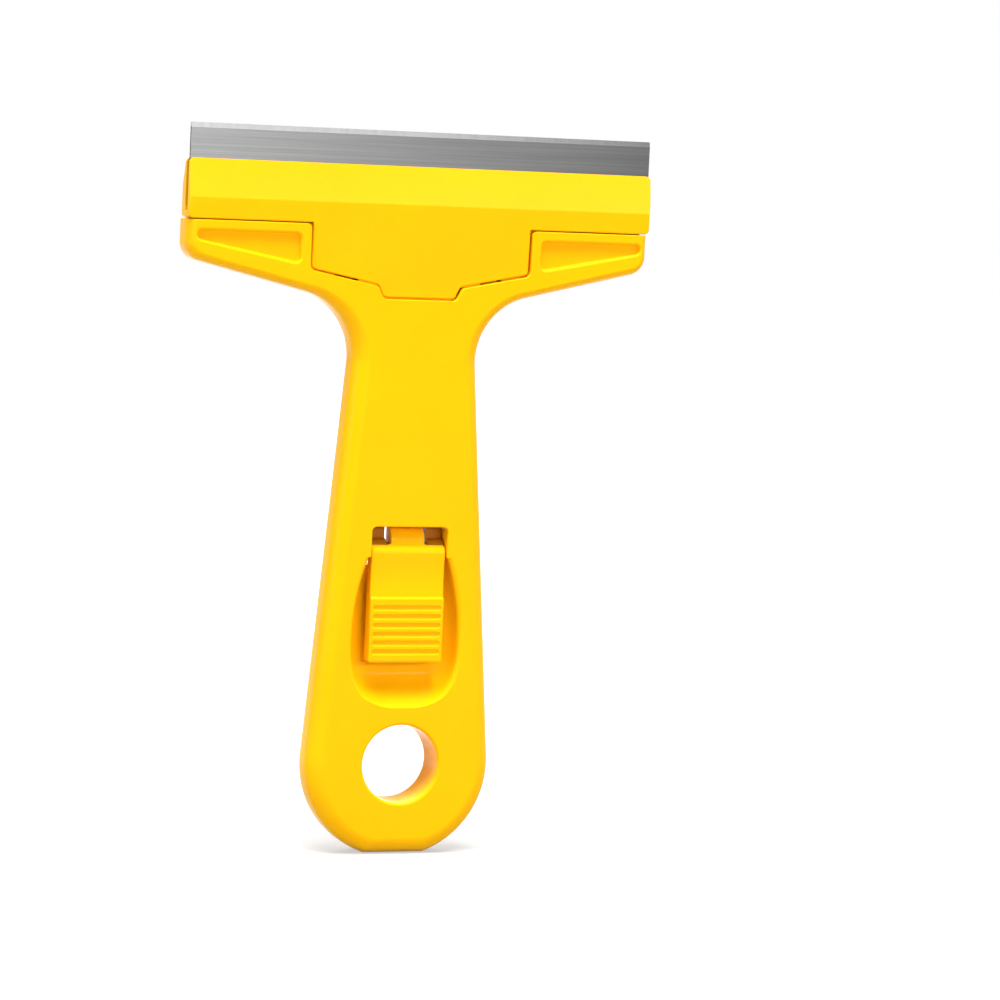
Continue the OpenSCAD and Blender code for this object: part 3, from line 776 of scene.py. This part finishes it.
def dish_half(z):
    """Half the width of the dish: an ellipse above its widest place, squarer below it."""
    if z > DISH_MID:
        return DISH_HALF_W * math.sqrt(1 - ((z - DISH_MID) / DISH_UPPER) ** 2)
    share = clamped((DISH_MID - z) / DISH_LOWER)
    return DISH_HALF_W * (1 - share ** DISH_LOW_POWER) ** (1 / DISH_LOW_POWER)


def dish_floor(z):
    """Depth of the dish: it starts softly at its lower end and levels out below the lever."""
    share = clamped((z - DISH_MID + DISH_LOWER) / DISH_RAMP)
    start = DISH_START_DEPTH + (1 - DISH_START_DEPTH) * eased(share / DISH_START_SHARE)
    return DISH_D * math.sin(math.pi / 2 * share) * start


def dish_cutter():
    """Cross sections up the dish: a round rim, steep sides and a wide floor."""
    low = DISH_MID - DISH_LOWER
    high = WINDOW_LOW + DISH_INTO_WINDOW
    # The sections lie closer together at the lower end, where the dish starts
    first_share, crowding = 0.0015, 1.7
    rings = []
    for i in range(DISH_STEPS + 1):
        z = low + (high - low) * (first_share + (1 - first_share) * (i / DISH_STEPS) ** crowding)
        half, depth = dish_half(z), dish_floor(z)
        rim = min(DISH_RIM_R, half / 5, depth / 2.2)
        side = [(half + rim, FRONT - OVER)]
        side += [(half + rim * s, FRONT + rim * c) for s, c in quarter(RIM_STEPS)]
        first = rim / depth
        for k in range(1, DISH_WALL_STEPS):
            q = first + (1 - first) * math.sin(math.pi / 2 * k / DISH_WALL_STEPS)
            side.append((half * (1 - q ** DISH_SIDE_POWER) ** (1 / DISH_SIDE_POWER), FRONT + depth * q))
        ring = side + [(0.0, FRONT + depth)] + [(-x, y) for x, y in reversed(side)]
        rings.append((ring, z))
    return ring_solid("cutter", rings, "z")


def pocket(sign):
    """Cuts the shallow tapered pocket on the front of an arm."""
    inner = SHIELD_W / 2 + POCKET_INNER_GAP
    outer = HEAD_W / 2 - POCKET_OUTER_GAP
    top = SEAT - POCKET_TOP_GAP
    points = [(inner, top - POCKET_INNER_H), (outer, top - POCKET_OUTER_H), (outer, top), (inner, top)]
    if sign < 0:
        points = [(-u, v) for u, v in reversed(points)]
    return front_cutter(rounded(points, POCKET_CORNER_R), POCKET_RIM_R, POCKET_D, POCKET_FLOOR_R)


def inner_corner(sign):
    """Rounds the corner of an arm beside the shield."""
    edge = SHIELD_W / 2 + SEAM
    inside = edge - 2 * SEAM
    points = [(inside, SEAT - ARM_INNER_R)]
    points += arc((edge + ARM_INNER_R, SEAT - ARM_INNER_R), ARM_INNER_R, math.pi, math.pi / 2, 8)
    points += [(edge + ARM_INNER_R, SEAT + OVER), (inside, SEAT + OVER)]
    points = [(sign * u, v) for u, v in points]
    return ring_solid("cutter", [(points, FRONT - OVER), (points, RECESS_Y)])


def arm_back(sign):
    """Thins an arm from behind and leaves a round step at the thick middle."""
    edge = BOSS_W / 2
    past_arm = HEAD_W / 2 + OVER
    points = [(past_arm, ARM_BACK), (past_arm, BACK + OVER), (edge - BOSS_CORNER_R, BACK + OVER)]
    points += arc((edge - BOSS_CORNER_R, BACK - BOSS_CORNER_R), BOSS_CORNER_R, math.pi / 2, 0, 6)
    points += arc((edge + BOSS_FILLET_R, ARM_BACK + BOSS_FILLET_R), BOSS_FILLET_R, math.pi, 1.5 * math.pi, 5)
    points = [(sign * u, v) for u, v in points]
    return ring_solid("cutter", [(points, SEAT / 2), (points, SEAT + OVER)], "z")


def cut_mechanism_room(piece):
    """The cavity of the jaws' lugs, the channel of the bar and the room of its fork."""
    cavity_x = PIN_HALF_L + 2 * SLIDE_GAP
    cavity_low = PIN_Z - LUG_R - SLIDE_GAP - BAR_LIFT
    cut(piece, block((-cavity_x, RECESS_Y, cavity_low), (cavity_x, COVER_Y, SEAT + OVER)))
    notch_front = SHIELD_BACK - SEAM - SLIDE_GAP
    for x0, x1 in both_sides(FRONT_LUG_X - SLIDE_GAP, REAR_LUG_X):
        cut(piece, block((x0, notch_front, PIN_Z - LUG_R - SLIDE_GAP), (x1, RECESS_Y + OVER, PIN_Z)))
    back = COVER_Y + OVER
    shank_x = SHANK_W / 2 + SLIDE_GAP
    cut(piece, block((-shank_x, CHANNEL_FRONT, BRIDGE_TOP), (shank_x, back, SEAT)))
    cut(piece, block((-LEG_ROOM_OUT_X, CHANNEL_FRONT, BRIDGE_TOP), (LEG_ROOM_OUT_X, back, FORK_ROOM_TOP)))
    for x0, x1 in both_sides(LEG_ROOM_IN_X, LEG_ROOM_OUT_X):
        cut(piece, block((x0, CHANNEL_FRONT, WINDOW_LOW + OVER), (x1, back, BRIDGE_TOP + OVER)))


def keel_groove():
    low = SEAT - KEEL_H - SLIDE_GAP
    tip = KEEL_TIP + KEEL_GAP
    points = [(KEEL_Y - tip, low), (KEEL_Y + tip, low),
              (KEEL_Y + KEEL_MOUTH, SEAT + OVER), (KEEL_Y - KEEL_MOUTH, SEAT + OVER)]
    return bar("cutter", points, KEEL_HALF_L + SLIDE_GAP)


def cover_outline(grow=0.0):
    points = rectangle(-COVER_W / 2 - grow, COVER_LOW - grow, COVER_W / 2 + grow, COVER_LOW + COVER_H + grow)
    return rounded(points, COVER_CORNER_R)


def cover_seat():
    """Cuts the opening for the rear cover, with a small chamfer at the back face."""
    seat = cover_outline(SEAM / 2)
    wide = offset(seat, COVER_CHAMFER)
    rings = [(seat, COVER_Y), (seat, BACK - COVER_CHAMFER), (wide, BACK), (wide, BACK + OVER)]
    return ring_solid("cutter", rings)


def handle():
    piece = ring_solid("handle_shell", slab_rings(handle_outline, FRONT, BACK, EDGE_R, EDGE_R, 9))
    soften(piece, SEAT_RIM_R, lambda a, b: min(a.z, b.z) > SEAT - NEAR, 2)
    window = rectangle(-WINDOW_W / 2, WINDOW_LOW, WINDOW_W / 2, WINDOW_TOP)
    cut(piece, front_cutter(circle((0, GRIP_Z), HOLE_R, HOLE_SIDES), HOLE_RIM_R))
    cut(piece, front_cutter(rounded(window, [0, 0, WINDOW_CORNER_R, WINDOW_CORNER_R]), WINDOW_RIM_R))
    cut(piece, dish_cutter())
    room_x = LEVER_W / 2 + SLIDE_GAP
    room_low = LEVER_LOW - SLIDE_GAP
    cut(piece, block((-room_x, FRONT - OVER, room_low), (room_x, FRONT + DISH_D, WINDOW_LOW + OVER)))
    cut(piece, shield_recess())
    for sign in (1, -1):
        cut(piece, inner_corner(sign), pocket(sign), arm_back(sign))
    cut_mechanism_room(piece)
    # Low pads on the seat leave only a hair's gap under the two ends of the rear jaw
    for x0, x1 in both_sides(PAD_IN_X, PAD_OUT_X):
        join(piece, block((x0, PAD_FRONT, SEAT - OVER), (x1, PAD_BACK, SEAT + PAD_H)))
    cut(piece, keel_groove(), cover_seat())
    dress(shade(piece), YELLOW, "handle", "handle_body")


# Jaws
def jaw_bevel(piece, outer_y, lip_y):
    """Cuts the long bevel of a jaw, from the crease on its outer face to its lip, and rounds the crease."""
    rise = math.copysign(LIP - CREASE, outer_y - lip_y)
    plane_cut(piece, (0, outer_y, CREASE), Vector((0, rise, abs(outer_y - lip_y))).normalized())

    def on_crease(a, b):
        return all(abs(p.z - CREASE) < NEAR and abs(p.y - outer_y) < NEAR for p in (a, b))

    soften(piece, CREASE_R, on_crease, least=0.05)


def lean_back(piece):
    """The front falls back a little from the crease to the foot of the shield."""
    start = CREASE - LEAN_START
    for vertex in piece.data.vertices:
        x, y, z = vertex.co / MM
        if z < start and y < CLAMP_FRONT - LEAN_SKIN:
            vertex.co.y += FACE_LEAN * (start - z) / (start - SEAT + SHIELD_FOOT_H) * MM


def add_lugs(piece, inner, outer, low, high):
    """On each side a lug round the jaw pin: a block between two (y, z) corners, and a rod."""
    for x0, x1 in both_sides(inner, outer):
        join(piece, block((x0, *low), (x1, *high)), rod(LUG_R, x0, x1, PIN_Y, PIN_Z))


def front_jaw():
    """The front half of the head, in one with the shield."""
    half = shield_half() + [(SHIELD_W / 2, SEAT + SEAM), (HEAD_W / 2, SEAT + SEAM), (HEAD_W / 2, LIP)]
    radii = [SHIELD_CORNER_R] * 3 + [JAW_INNER_CORNER_R, JAW_FOOT_CORNER_R, JAW_TOP_CORNER_R]
    outline = rounded_halves(half, radii)
    piece = slab("front_jaw_shell", outline, JAW_FRONT, CLAMP_FRONT, JAW_RIM_R, CLAMP_RIM_R)
    jaw_bevel(piece, JAW_FRONT, CLAMP_FRONT - LIP_T)
    lean_back(piece)
    add_lugs(piece, FRONT_LUG_X, FRONT_LUG_X + FRONT_LUG_W,
             (SHIELD_BACK - SEAM, PIN_Z - LUG_R), (PIN_Y, PIN_Z + LUG_R))
    cut(piece, rod(JAW_PIN_R + PIN_GAP, -BOSS_W / 2, BOSS_W / 2, PIN_Y, PIN_Z))
    dress(shade(piece), YELLOW, "front_jaw", "front_jaw")


def rear_jaw():
    """The rear half of the head, with its keel, the web down to the pin and the slot for the blade."""
    half_w = HEAD_W / 2
    radii = [REAR_FOOT_CORNER_R, REAR_FOOT_CORNER_R, JAW_TOP_CORNER_R, JAW_TOP_CORNER_R]
    outline = rounded(rectangle(-half_w, SEAT + SEAM, half_w, LIP), radii)
    piece = slab("rear_jaw_shell", outline, CLAMP_BACK, JAW_BACK, CLAMP_RIM_R, JAW_BACK_RIM_R)
    jaw_bevel(piece, JAW_BACK, CLAMP_BACK + REAR_LIP_T)
    keel = [(KEEL_Y - KEEL_TIP, SEAT - KEEL_H), (KEEL_Y + KEEL_TIP, SEAT - KEEL_H),
            (KEEL_Y + KEEL_ROOT, SEAT), (KEEL_Y + KEEL_ROOT, BLADE_FOOT),
            (KEEL_Y - KEEL_ROOT, BLADE_FOOT), (KEEL_Y - KEEL_ROOT, SEAT)]
    strip_x = half_w - JAW_OVERHANG
    join(piece, bar("keel", keel, KEEL_HALF_L),
         block((-strip_x, MEET_Y, SEAT + SEAM), (strip_x, CLAMP_BACK + LIP_T, BLADE_FOOT - BLADE_GAP)),
         block((-PIN_HALF_L, MEET_Y, WEB_LOW), (PIN_HALF_L, COVER_Y - SLIDE_GAP, SEAT)))
    add_lugs(piece, REAR_LUG_X, PIN_HALF_L, (PIN_Y - LUG_R / 2, PIN_Z), (PIN_Y + LUG_R, WEB_LOW + OVER))
    cut(piece, rod(JAW_PIN_R + HELD_GAP, -BOSS_W / 2, BOSS_W / 2, PIN_Y, PIN_Z))
    # The slot for the blade is wider at its two ends
    slot_front, slot_back = CLAMP_BACK - SLOT_LAP, CLAMP_BACK + SLOT_D
    for x0, x1 in both_sides(SLOT_IN_X, SLOT_OUT_X):
        cut(piece, block((x0, slot_front, SEAT + SLOT_FOOT_H), (x1, slot_back, LIP + OVER)))
    dress(shade(piece), YELLOW, "clamp", "rear_jaw")


# Lever
def lever_front(z):
    """Depth of the front of the lever: slightly hollow above, raised where the ridges are."""
    rise = eased((RIB_TOP + RIB_RAMP - z) / RIB_RAMP)
    share = clamped((z - RIB_TOP - RIB_RAMP) / HOLLOW_H)
    return LEVER_FRONT - RIB_H * rise + HOLLOW_D * math.sin(math.pi * share)


def lever_profile():
    """Side view: a round shoulder at the top, the hollow, the raised grip and a round foot."""
    steps = LEVER_FACE_STEPS
    crown = arc((LEVER_FRONT + SHOULDER_R, LEVER_TOP - SHOULDER_R), SHOULDER_R, math.pi / 2, math.pi, 10)
    levels = [RIB_TOP + RIB_RAMP + HOLLOW_H * k / steps for k in range(steps - 1, -1, -1)] + [RIB_TOP]
    face = [(lever_front(z), z) for z in levels]
    foot = arc((LEVER_FRONT - RIB_H + LEVER_FOOT_R, LEVER_LOW + LEVER_FOOT_R), LEVER_FOOT_R,
               math.pi, 1.5 * math.pi, 5)
    back = [(LEVER_BACK, LEVER_LOW + LEVER_RIM_R), (LEVER_BACK, LEVER_TOP)]
    return back + crown + face + foot + [(LEVER_BACK - LEVER_RIM_R, LEVER_LOW)]


def groove(z):
    """A round groove across the lever that stops short of its sides."""
    end = LEVER_W / 2 - GROOVE_END_GAP
    half = []
    for i in range(RIM_STEPS + 1):
        a = math.pi / 2 * i / RIM_STEPS
        section = circle((FRONT - GROOVE_OUT, z), max(GROOVE_TIP_R, GROOVE_R * math.sin(a)), GROOVE_SIDES)
        half.append((section, end - GROOVE_R + GROOVE_R * math.cos(a)))
    return ring_solid("cutter", [(section, -x) for section, x in half] + half[::-1], "x")


def cam_profile():
    """Side view of the neck: the cam on its top is an involute, so the pin rises evenly with the swing."""
    cam = []
    for degrees in range(0, 91, 3):
        a = math.radians(degrees)
        h = CAM_H - CAM_FALL * a
        cam.append((LEVER_PIN_Y - h * math.sin(a) + CAM_FALL * math.cos(a),
                    LEVER_PIN_Z + h * math.cos(a) + CAM_FALL * math.sin(a)))
    cam += [(cam[-1][0], CAM_LOW), (LEVER_BACK, CAM_LOW)]
    eye_start = -math.pi / 2 + 0.3
    cam += arc((LEVER_PIN_Y, LEVER_PIN_Z), EYE_R, eye_start, 0, 8)
    return cam + [(LEVER_PIN_Y + EYE_R, cam[0][1] - CAM_BACK_DROP)]


def lever_neck():
    """The neck between the legs of the fork, with a fillet where it leaves the shoulder."""
    half = LEVER_NECK_W / 2
    root = half + NECK_FLARE
    flare = LEVER_TOP - NECK_DROP
    front = [(-root, NECK_LOW), (root, NECK_LOW), (root, flare), (half, LEVER_TOP),
             (half, NECK_TOP), (-half, NECK_TOP), (-half, LEVER_TOP), (-root, flare)]
    front = rounded(front, [0, 0, 0, LEVER_NECK_FILLET_R, 0, 0, LEVER_NECK_FILLET_R, 0])
    neck = ring_solid("neck", [(front, FRONT - OVER), (front, BACK - OVER)])
    combine(neck, bar("cutter", cam_profile(), FORK_W / 2), "INTERSECT")
    return neck


def lever():
    half = LEVER_W / 2
    piece = slab("lever_shell", lever_profile(), -half, half, LEVER_RIM_R, LEVER_RIM_R, "x", 4)
    for i in range(GROOVES):
        cut(piece, groove(GROOVE_LOW + i * GROOVE_PITCH))
    past = LEVER_CORNER / 2
    for sign in (1, -1):
        corner = [(sign * (half + past), LEVER_LOW - past), (sign * (half + past), LEVER_LOW + LEVER_CORNER),
                  (sign * (half - LEVER_CORNER), LEVER_LOW - past)]
        cut(piece, ring_solid("cutter", [(corner, FRONT - OVER), (corner, 0)]))
        x0, x1 = sorted((sign * LEG_ROOM_IN_X, sign * (half + OVER)))
        cut(piece, rod(EYE_R + SLIDE_GAP, x0, x1, LEVER_PIN_Y, LEVER_PIN_Z))
    join(piece, lever_neck())
    cut(piece, rod(LEVER_PIN_R + PIN_GAP, -half - OVER, half + OVER, LEVER_PIN_Y, LEVER_PIN_Z))
    dress(shade(piece), YELLOW, "lever", "lever")


# Rear cover, screws and blade
def screw_places():
    return [(x, z) for z in SCREW_LEVELS for x in (-SCREW_X, SCREW_X)]


def rear_cover():
    piece = slab("rear_cover_shell", cover_outline(), COVER_Y + HELD_GAP, BACK, COVER_INNER_R, COVER_EDGE_R)
    for place in screw_places():
        hole = circle(place, SCREW_HOLE_R, SCREW_SIDES)
        mouth = circle(place, SCREW_MOUTH_R, SCREW_SIDES)
        cut(piece, ring_solid("cutter", [(hole, COVER_Y - OVER), (hole, BACK - SCREW_CONE_H),
                                         (mouth, BACK), (mouth, BACK + OVER)]))
    dress(shade(piece), YELLOW, "handle", "rear_cover")


def screw(x, z):
    """A countersunk screw: a blunt tip, a ridged thread, and a cross in its head."""
    def ring(r, depth):
        return circle((x, z), r, SCREW_SIDES), BACK - depth

    rings = [ring(0.5, SCREW_L), ring(1.0, 5.6)]
    for k in range(8):
        depth = THREAD_START - k * THREAD_PITCH
        rings += [ring(THREAD_CORE_R, depth), ring(SCREW_R, depth - 0.2), ring(THREAD_CORE_R, depth - 0.4)]
    rings += [ring(SCREW_R, SCREW_CONE_H), ring(1.92, 0.12), ring(1.96, 0.06), ring(1.9, 0)]
    piece = ring_solid("screw", rings)
    for w, h in ((CROSS_L, CROSS_W), (CROSS_W, CROSS_L)):
        cross = rounded(rectangle(x - w / 2, z - h / 2, x + w / 2, z + h / 2), 0.12, 3)
        tip = [(x + (u - x) * 0.55, z + (v - z) * 0.55) for u, v in cross]
        cut(piece, ring_solid("cutter", [(tip, BACK - CROSS_D), (cross, BACK - 0.2), (cross, BACK + OVER)]))
    return piece


def screws():
    """The four screws as one piece."""
    first, *others = [screw(x, z) for x, z in screw_places()]
    bm = bmesh.new()
    bm.from_mesh(first.data)
    for other in others:
        bm.from_mesh(other.data)
        bpy.data.objects.remove(other)
    bm.to_mesh(first.data)
    bm.free()
    first.name = "cover_screw_set"
    dress(shade(first), ZINC, "handle", "cover_screws")


def blade():
    """A strip ground to an edge along its top; the edge has a material of its own, and the sheared ends take
    a near-black painted shade.
    """
    top = BLADE_FOOT + BLADE_W
    half = BLADE_T / 2
    chamfer = BLADE_RIM_R
    points = [(-half + chamfer, BLADE_FOOT), (half - chamfer, BLADE_FOOT), (half, BLADE_FOOT + chamfer),
              (half, top - BEVEL_H), (EDGE_T / 2, top), (-EDGE_T / 2, top), (-half, top - BEVEL_H),
              (-half, BLADE_FOOT + chamfer)]
    points = [(BLADE_Y + u, v) for u, v in points]
    piece = slab("blade_strip", points, -BLADE_L / 2, BLADE_L / 2, BLADE_RIM_R, BLADE_RIM_R, "x", 2)
    for material in (BLADE, GROUND, BLADE_END_SHADE):
        piece.data.materials.append(material)
    rim = 0.04
    for face in piece.data.polygons:
        centre = face.center / MM
        # The faces of the sheared ends get the painted shade
        if abs(centre.x) > BLADE_L / 2 - rim:
            face.material_index = 2
        elif centre.z > top - BEVEL_H - 0.001 or centre.z < BLADE_FOOT + rim:
            face.material_index = 1
    dress(shade(piece, 5), BLADE, "blade", "blade")


def keep_cad(node, material):
    """Leaves a CAD node in view, with a new material."""
    mesh = frame["nodes"][node].data
    mesh.materials.clear()
    mesh.materials.append(material)


handle()
front_jaw()
rear_jaw()
lever()
rear_cover()
screws()
blade()
# The draw bar takes the dark orange of painted shade
keep_cad("draw_bar", PAINTED_SHADE_ORANGE)
for steel_node in ("jaw_pin", "lever_pin", "return_spring"):
    keep_cad(steel_node, ZINC)


# Floor, light and camera, in metres
WHITE = (1, 1, 1, 1)
FLOOR_HALF = 3.0
FLOOR_GREY = (*grey(0.3), 1)
FLOOR_GLOW = 0.5
GLOW_NEAR = 0.03
GLOW_FAR = 0.14
WORLD_LIGHT = 0.14
LAMP_AIM = Vector((0, 0, 0.09))


def floor():
    """A grey floor that also glows where the camera or a reflection sees it, whitest away from the tool."""
    bm = bmesh.new()
    corners = rectangle(-FLOOR_HALF, -FLOOR_HALF, FLOOR_HALF, FLOOR_HALF)
    bm.faces.new([bm.verts.new((x, y, 0)) for x, y in corners])
    piece = to_object("floor", bm)
    material = bpy.data.materials.new("floor")
    material.use_nodes = True
    nodes = Nodes(material)
    nodes.tree.nodes.clear()
    diffuse = nodes.add("ShaderNodeBsdfDiffuse")
    diffuse.inputs["Color"].default_value = FLOOR_GREY
    path = nodes.add("ShaderNodeLightPath")
    seen = nodes.calculate("MAXIMUM", path.outputs["Is Camera Ray"], path.outputs["Is Glossy Ray"])
    where = nodes.add("ShaderNodeNewGeometry")
    away = nodes.add("ShaderNodeVectorMath", operation="LENGTH")
    nodes.link(where.outputs["Position"], away.inputs[0])
    spread = nodes.range(away.outputs["Value"], FLOOR_GLOW, 1.0, GLOW_NEAR, GLOW_FAR, "SMOOTHSTEP")
    glow = nodes.add("ShaderNodeEmission")
    glow.inputs["Color"].default_value = WHITE
    nodes.link(nodes.calculate("MULTIPLY", seen, spread), glow.inputs["Strength"])
    both = nodes.add("ShaderNodeAddShader")
    nodes.link(diffuse.outputs[0], both.inputs[0])
    nodes.link(glow.outputs[0], both.inputs[1])
    out = nodes.add("ShaderNodeOutputMaterial")
    nodes.link(both.outputs[0], out.inputs["Surface"])
    piece.data.materials.append(material)


def world():
    """A soft light on the tool, and plain white where the camera, glass or a reflection looks past it."""
    studio = bpy.data.worlds.new("studio")
    bpy.context.scene.world = studio
    studio.use_nodes = True
    nodes = Nodes(studio)
    nodes.tree.nodes.clear()
    path = nodes.add("ShaderNodeLightPath")
    seen = nodes.calculate("MAXIMUM", path.outputs["Is Camera Ray"], path.outputs["Is Transmission Ray"])
    seen = nodes.calculate("MAXIMUM", seen, path.outputs["Is Glossy Ray"])
    mix = nodes.add("ShaderNodeMixShader")
    nodes.link(seen, mix.inputs["Fac"])
    for socket, strength in ((1, WORLD_LIGHT), (2, 1.0)):
        background = nodes.add("ShaderNodeBackground")
        background.inputs["Color"].default_value = WHITE
        background.inputs["Strength"].default_value = strength
        nodes.link(background.outputs[0], mix.inputs[socket])
    out = nodes.add("ShaderNodeOutputWorld")
    nodes.link(mix.outputs[0], out.inputs["Surface"])


def lamp(name, azimuth, elevation, distance, size, power):
    """An area lamp that looks at the tool: degrees right of straight ahead, degrees up, metres and watts."""
    a, e = math.radians(azimuth), math.radians(elevation)
    away = Vector((math.sin(a) * math.cos(e), -math.cos(a) * math.cos(e), math.sin(e)))
    data = bpy.data.lights.new(name, "AREA")
    data.shape = "RECTANGLE"
    data.size, data.size_y = size
    data.energy = power
    piece = bpy.data.objects.new(name, data)
    bpy.context.collection.objects.link(piece)
    piece.location = LAMP_AIM + away * distance
    piece.rotation_euler = (LAMP_AIM - piece.location).to_track_quat("-Z", "Y").to_euler()


def camera():
    """The photograph's view: 1000 pixels square, the focal length in those pixels, angles in degrees."""
    focal_px, frame_px, sensor = 4036.5, 1000.0, 36.0
    yaw, pitch, roll = (math.radians(a) for a in (20.07, 5.21, 2.63))
    aim = Vector((21.19, 0, 74.335)) * MM
    distance = 850 * MM
    forward = Vector((math.sin(yaw) * math.cos(pitch), math.cos(yaw) * math.cos(pitch), -math.sin(pitch)))
    right = Vector((math.cos(yaw), -math.sin(yaw), 0))
    up = right.cross(forward)
    turned_right = right * math.cos(roll) + up * math.sin(roll)
    turned_up = -right * math.sin(roll) + up * math.cos(roll)
    data = bpy.data.cameras.new("camera")
    data.sensor_width = sensor
    data.lens = focal_px * sensor / frame_px
    data.clip_start, data.clip_end = 0.01, 20
    piece = bpy.data.objects.new("camera", data)
    bpy.context.collection.objects.link(piece)
    turn = Matrix((turned_right, turned_up, -forward)).transposed().to_4x4()
    piece.matrix_world = Matrix.Translation(aim - forward * distance) @ turn
    bpy.context.scene.camera = piece


bpy.context.scene.view_settings.view_transform = "Standard"
floor()
world()
lamp("key", azimuth=-16, elevation=76, distance=1.2, size=(0.9, 0.7), power=34)
lamp("bevel_light", azimuth=20, elevation=11, distance=1.3, size=(0.75, 0.1), power=5.6)
lamp("left_fill", azimuth=-80, elevation=14, distance=1.2, size=(0.8, 0.8), power=7)
lamp("left_strip", azimuth=-9, elevation=0, distance=1.3, size=(0.02, 0.8), power=2.3)
lamp("right_strip", azimuth=50, elevation=2, distance=1.3, size=(0.02, 0.8), power=2)
lamp("back_light", azimuth=165, elevation=40, distance=1.3, size=(0.8, 0.8), power=15)
camera()
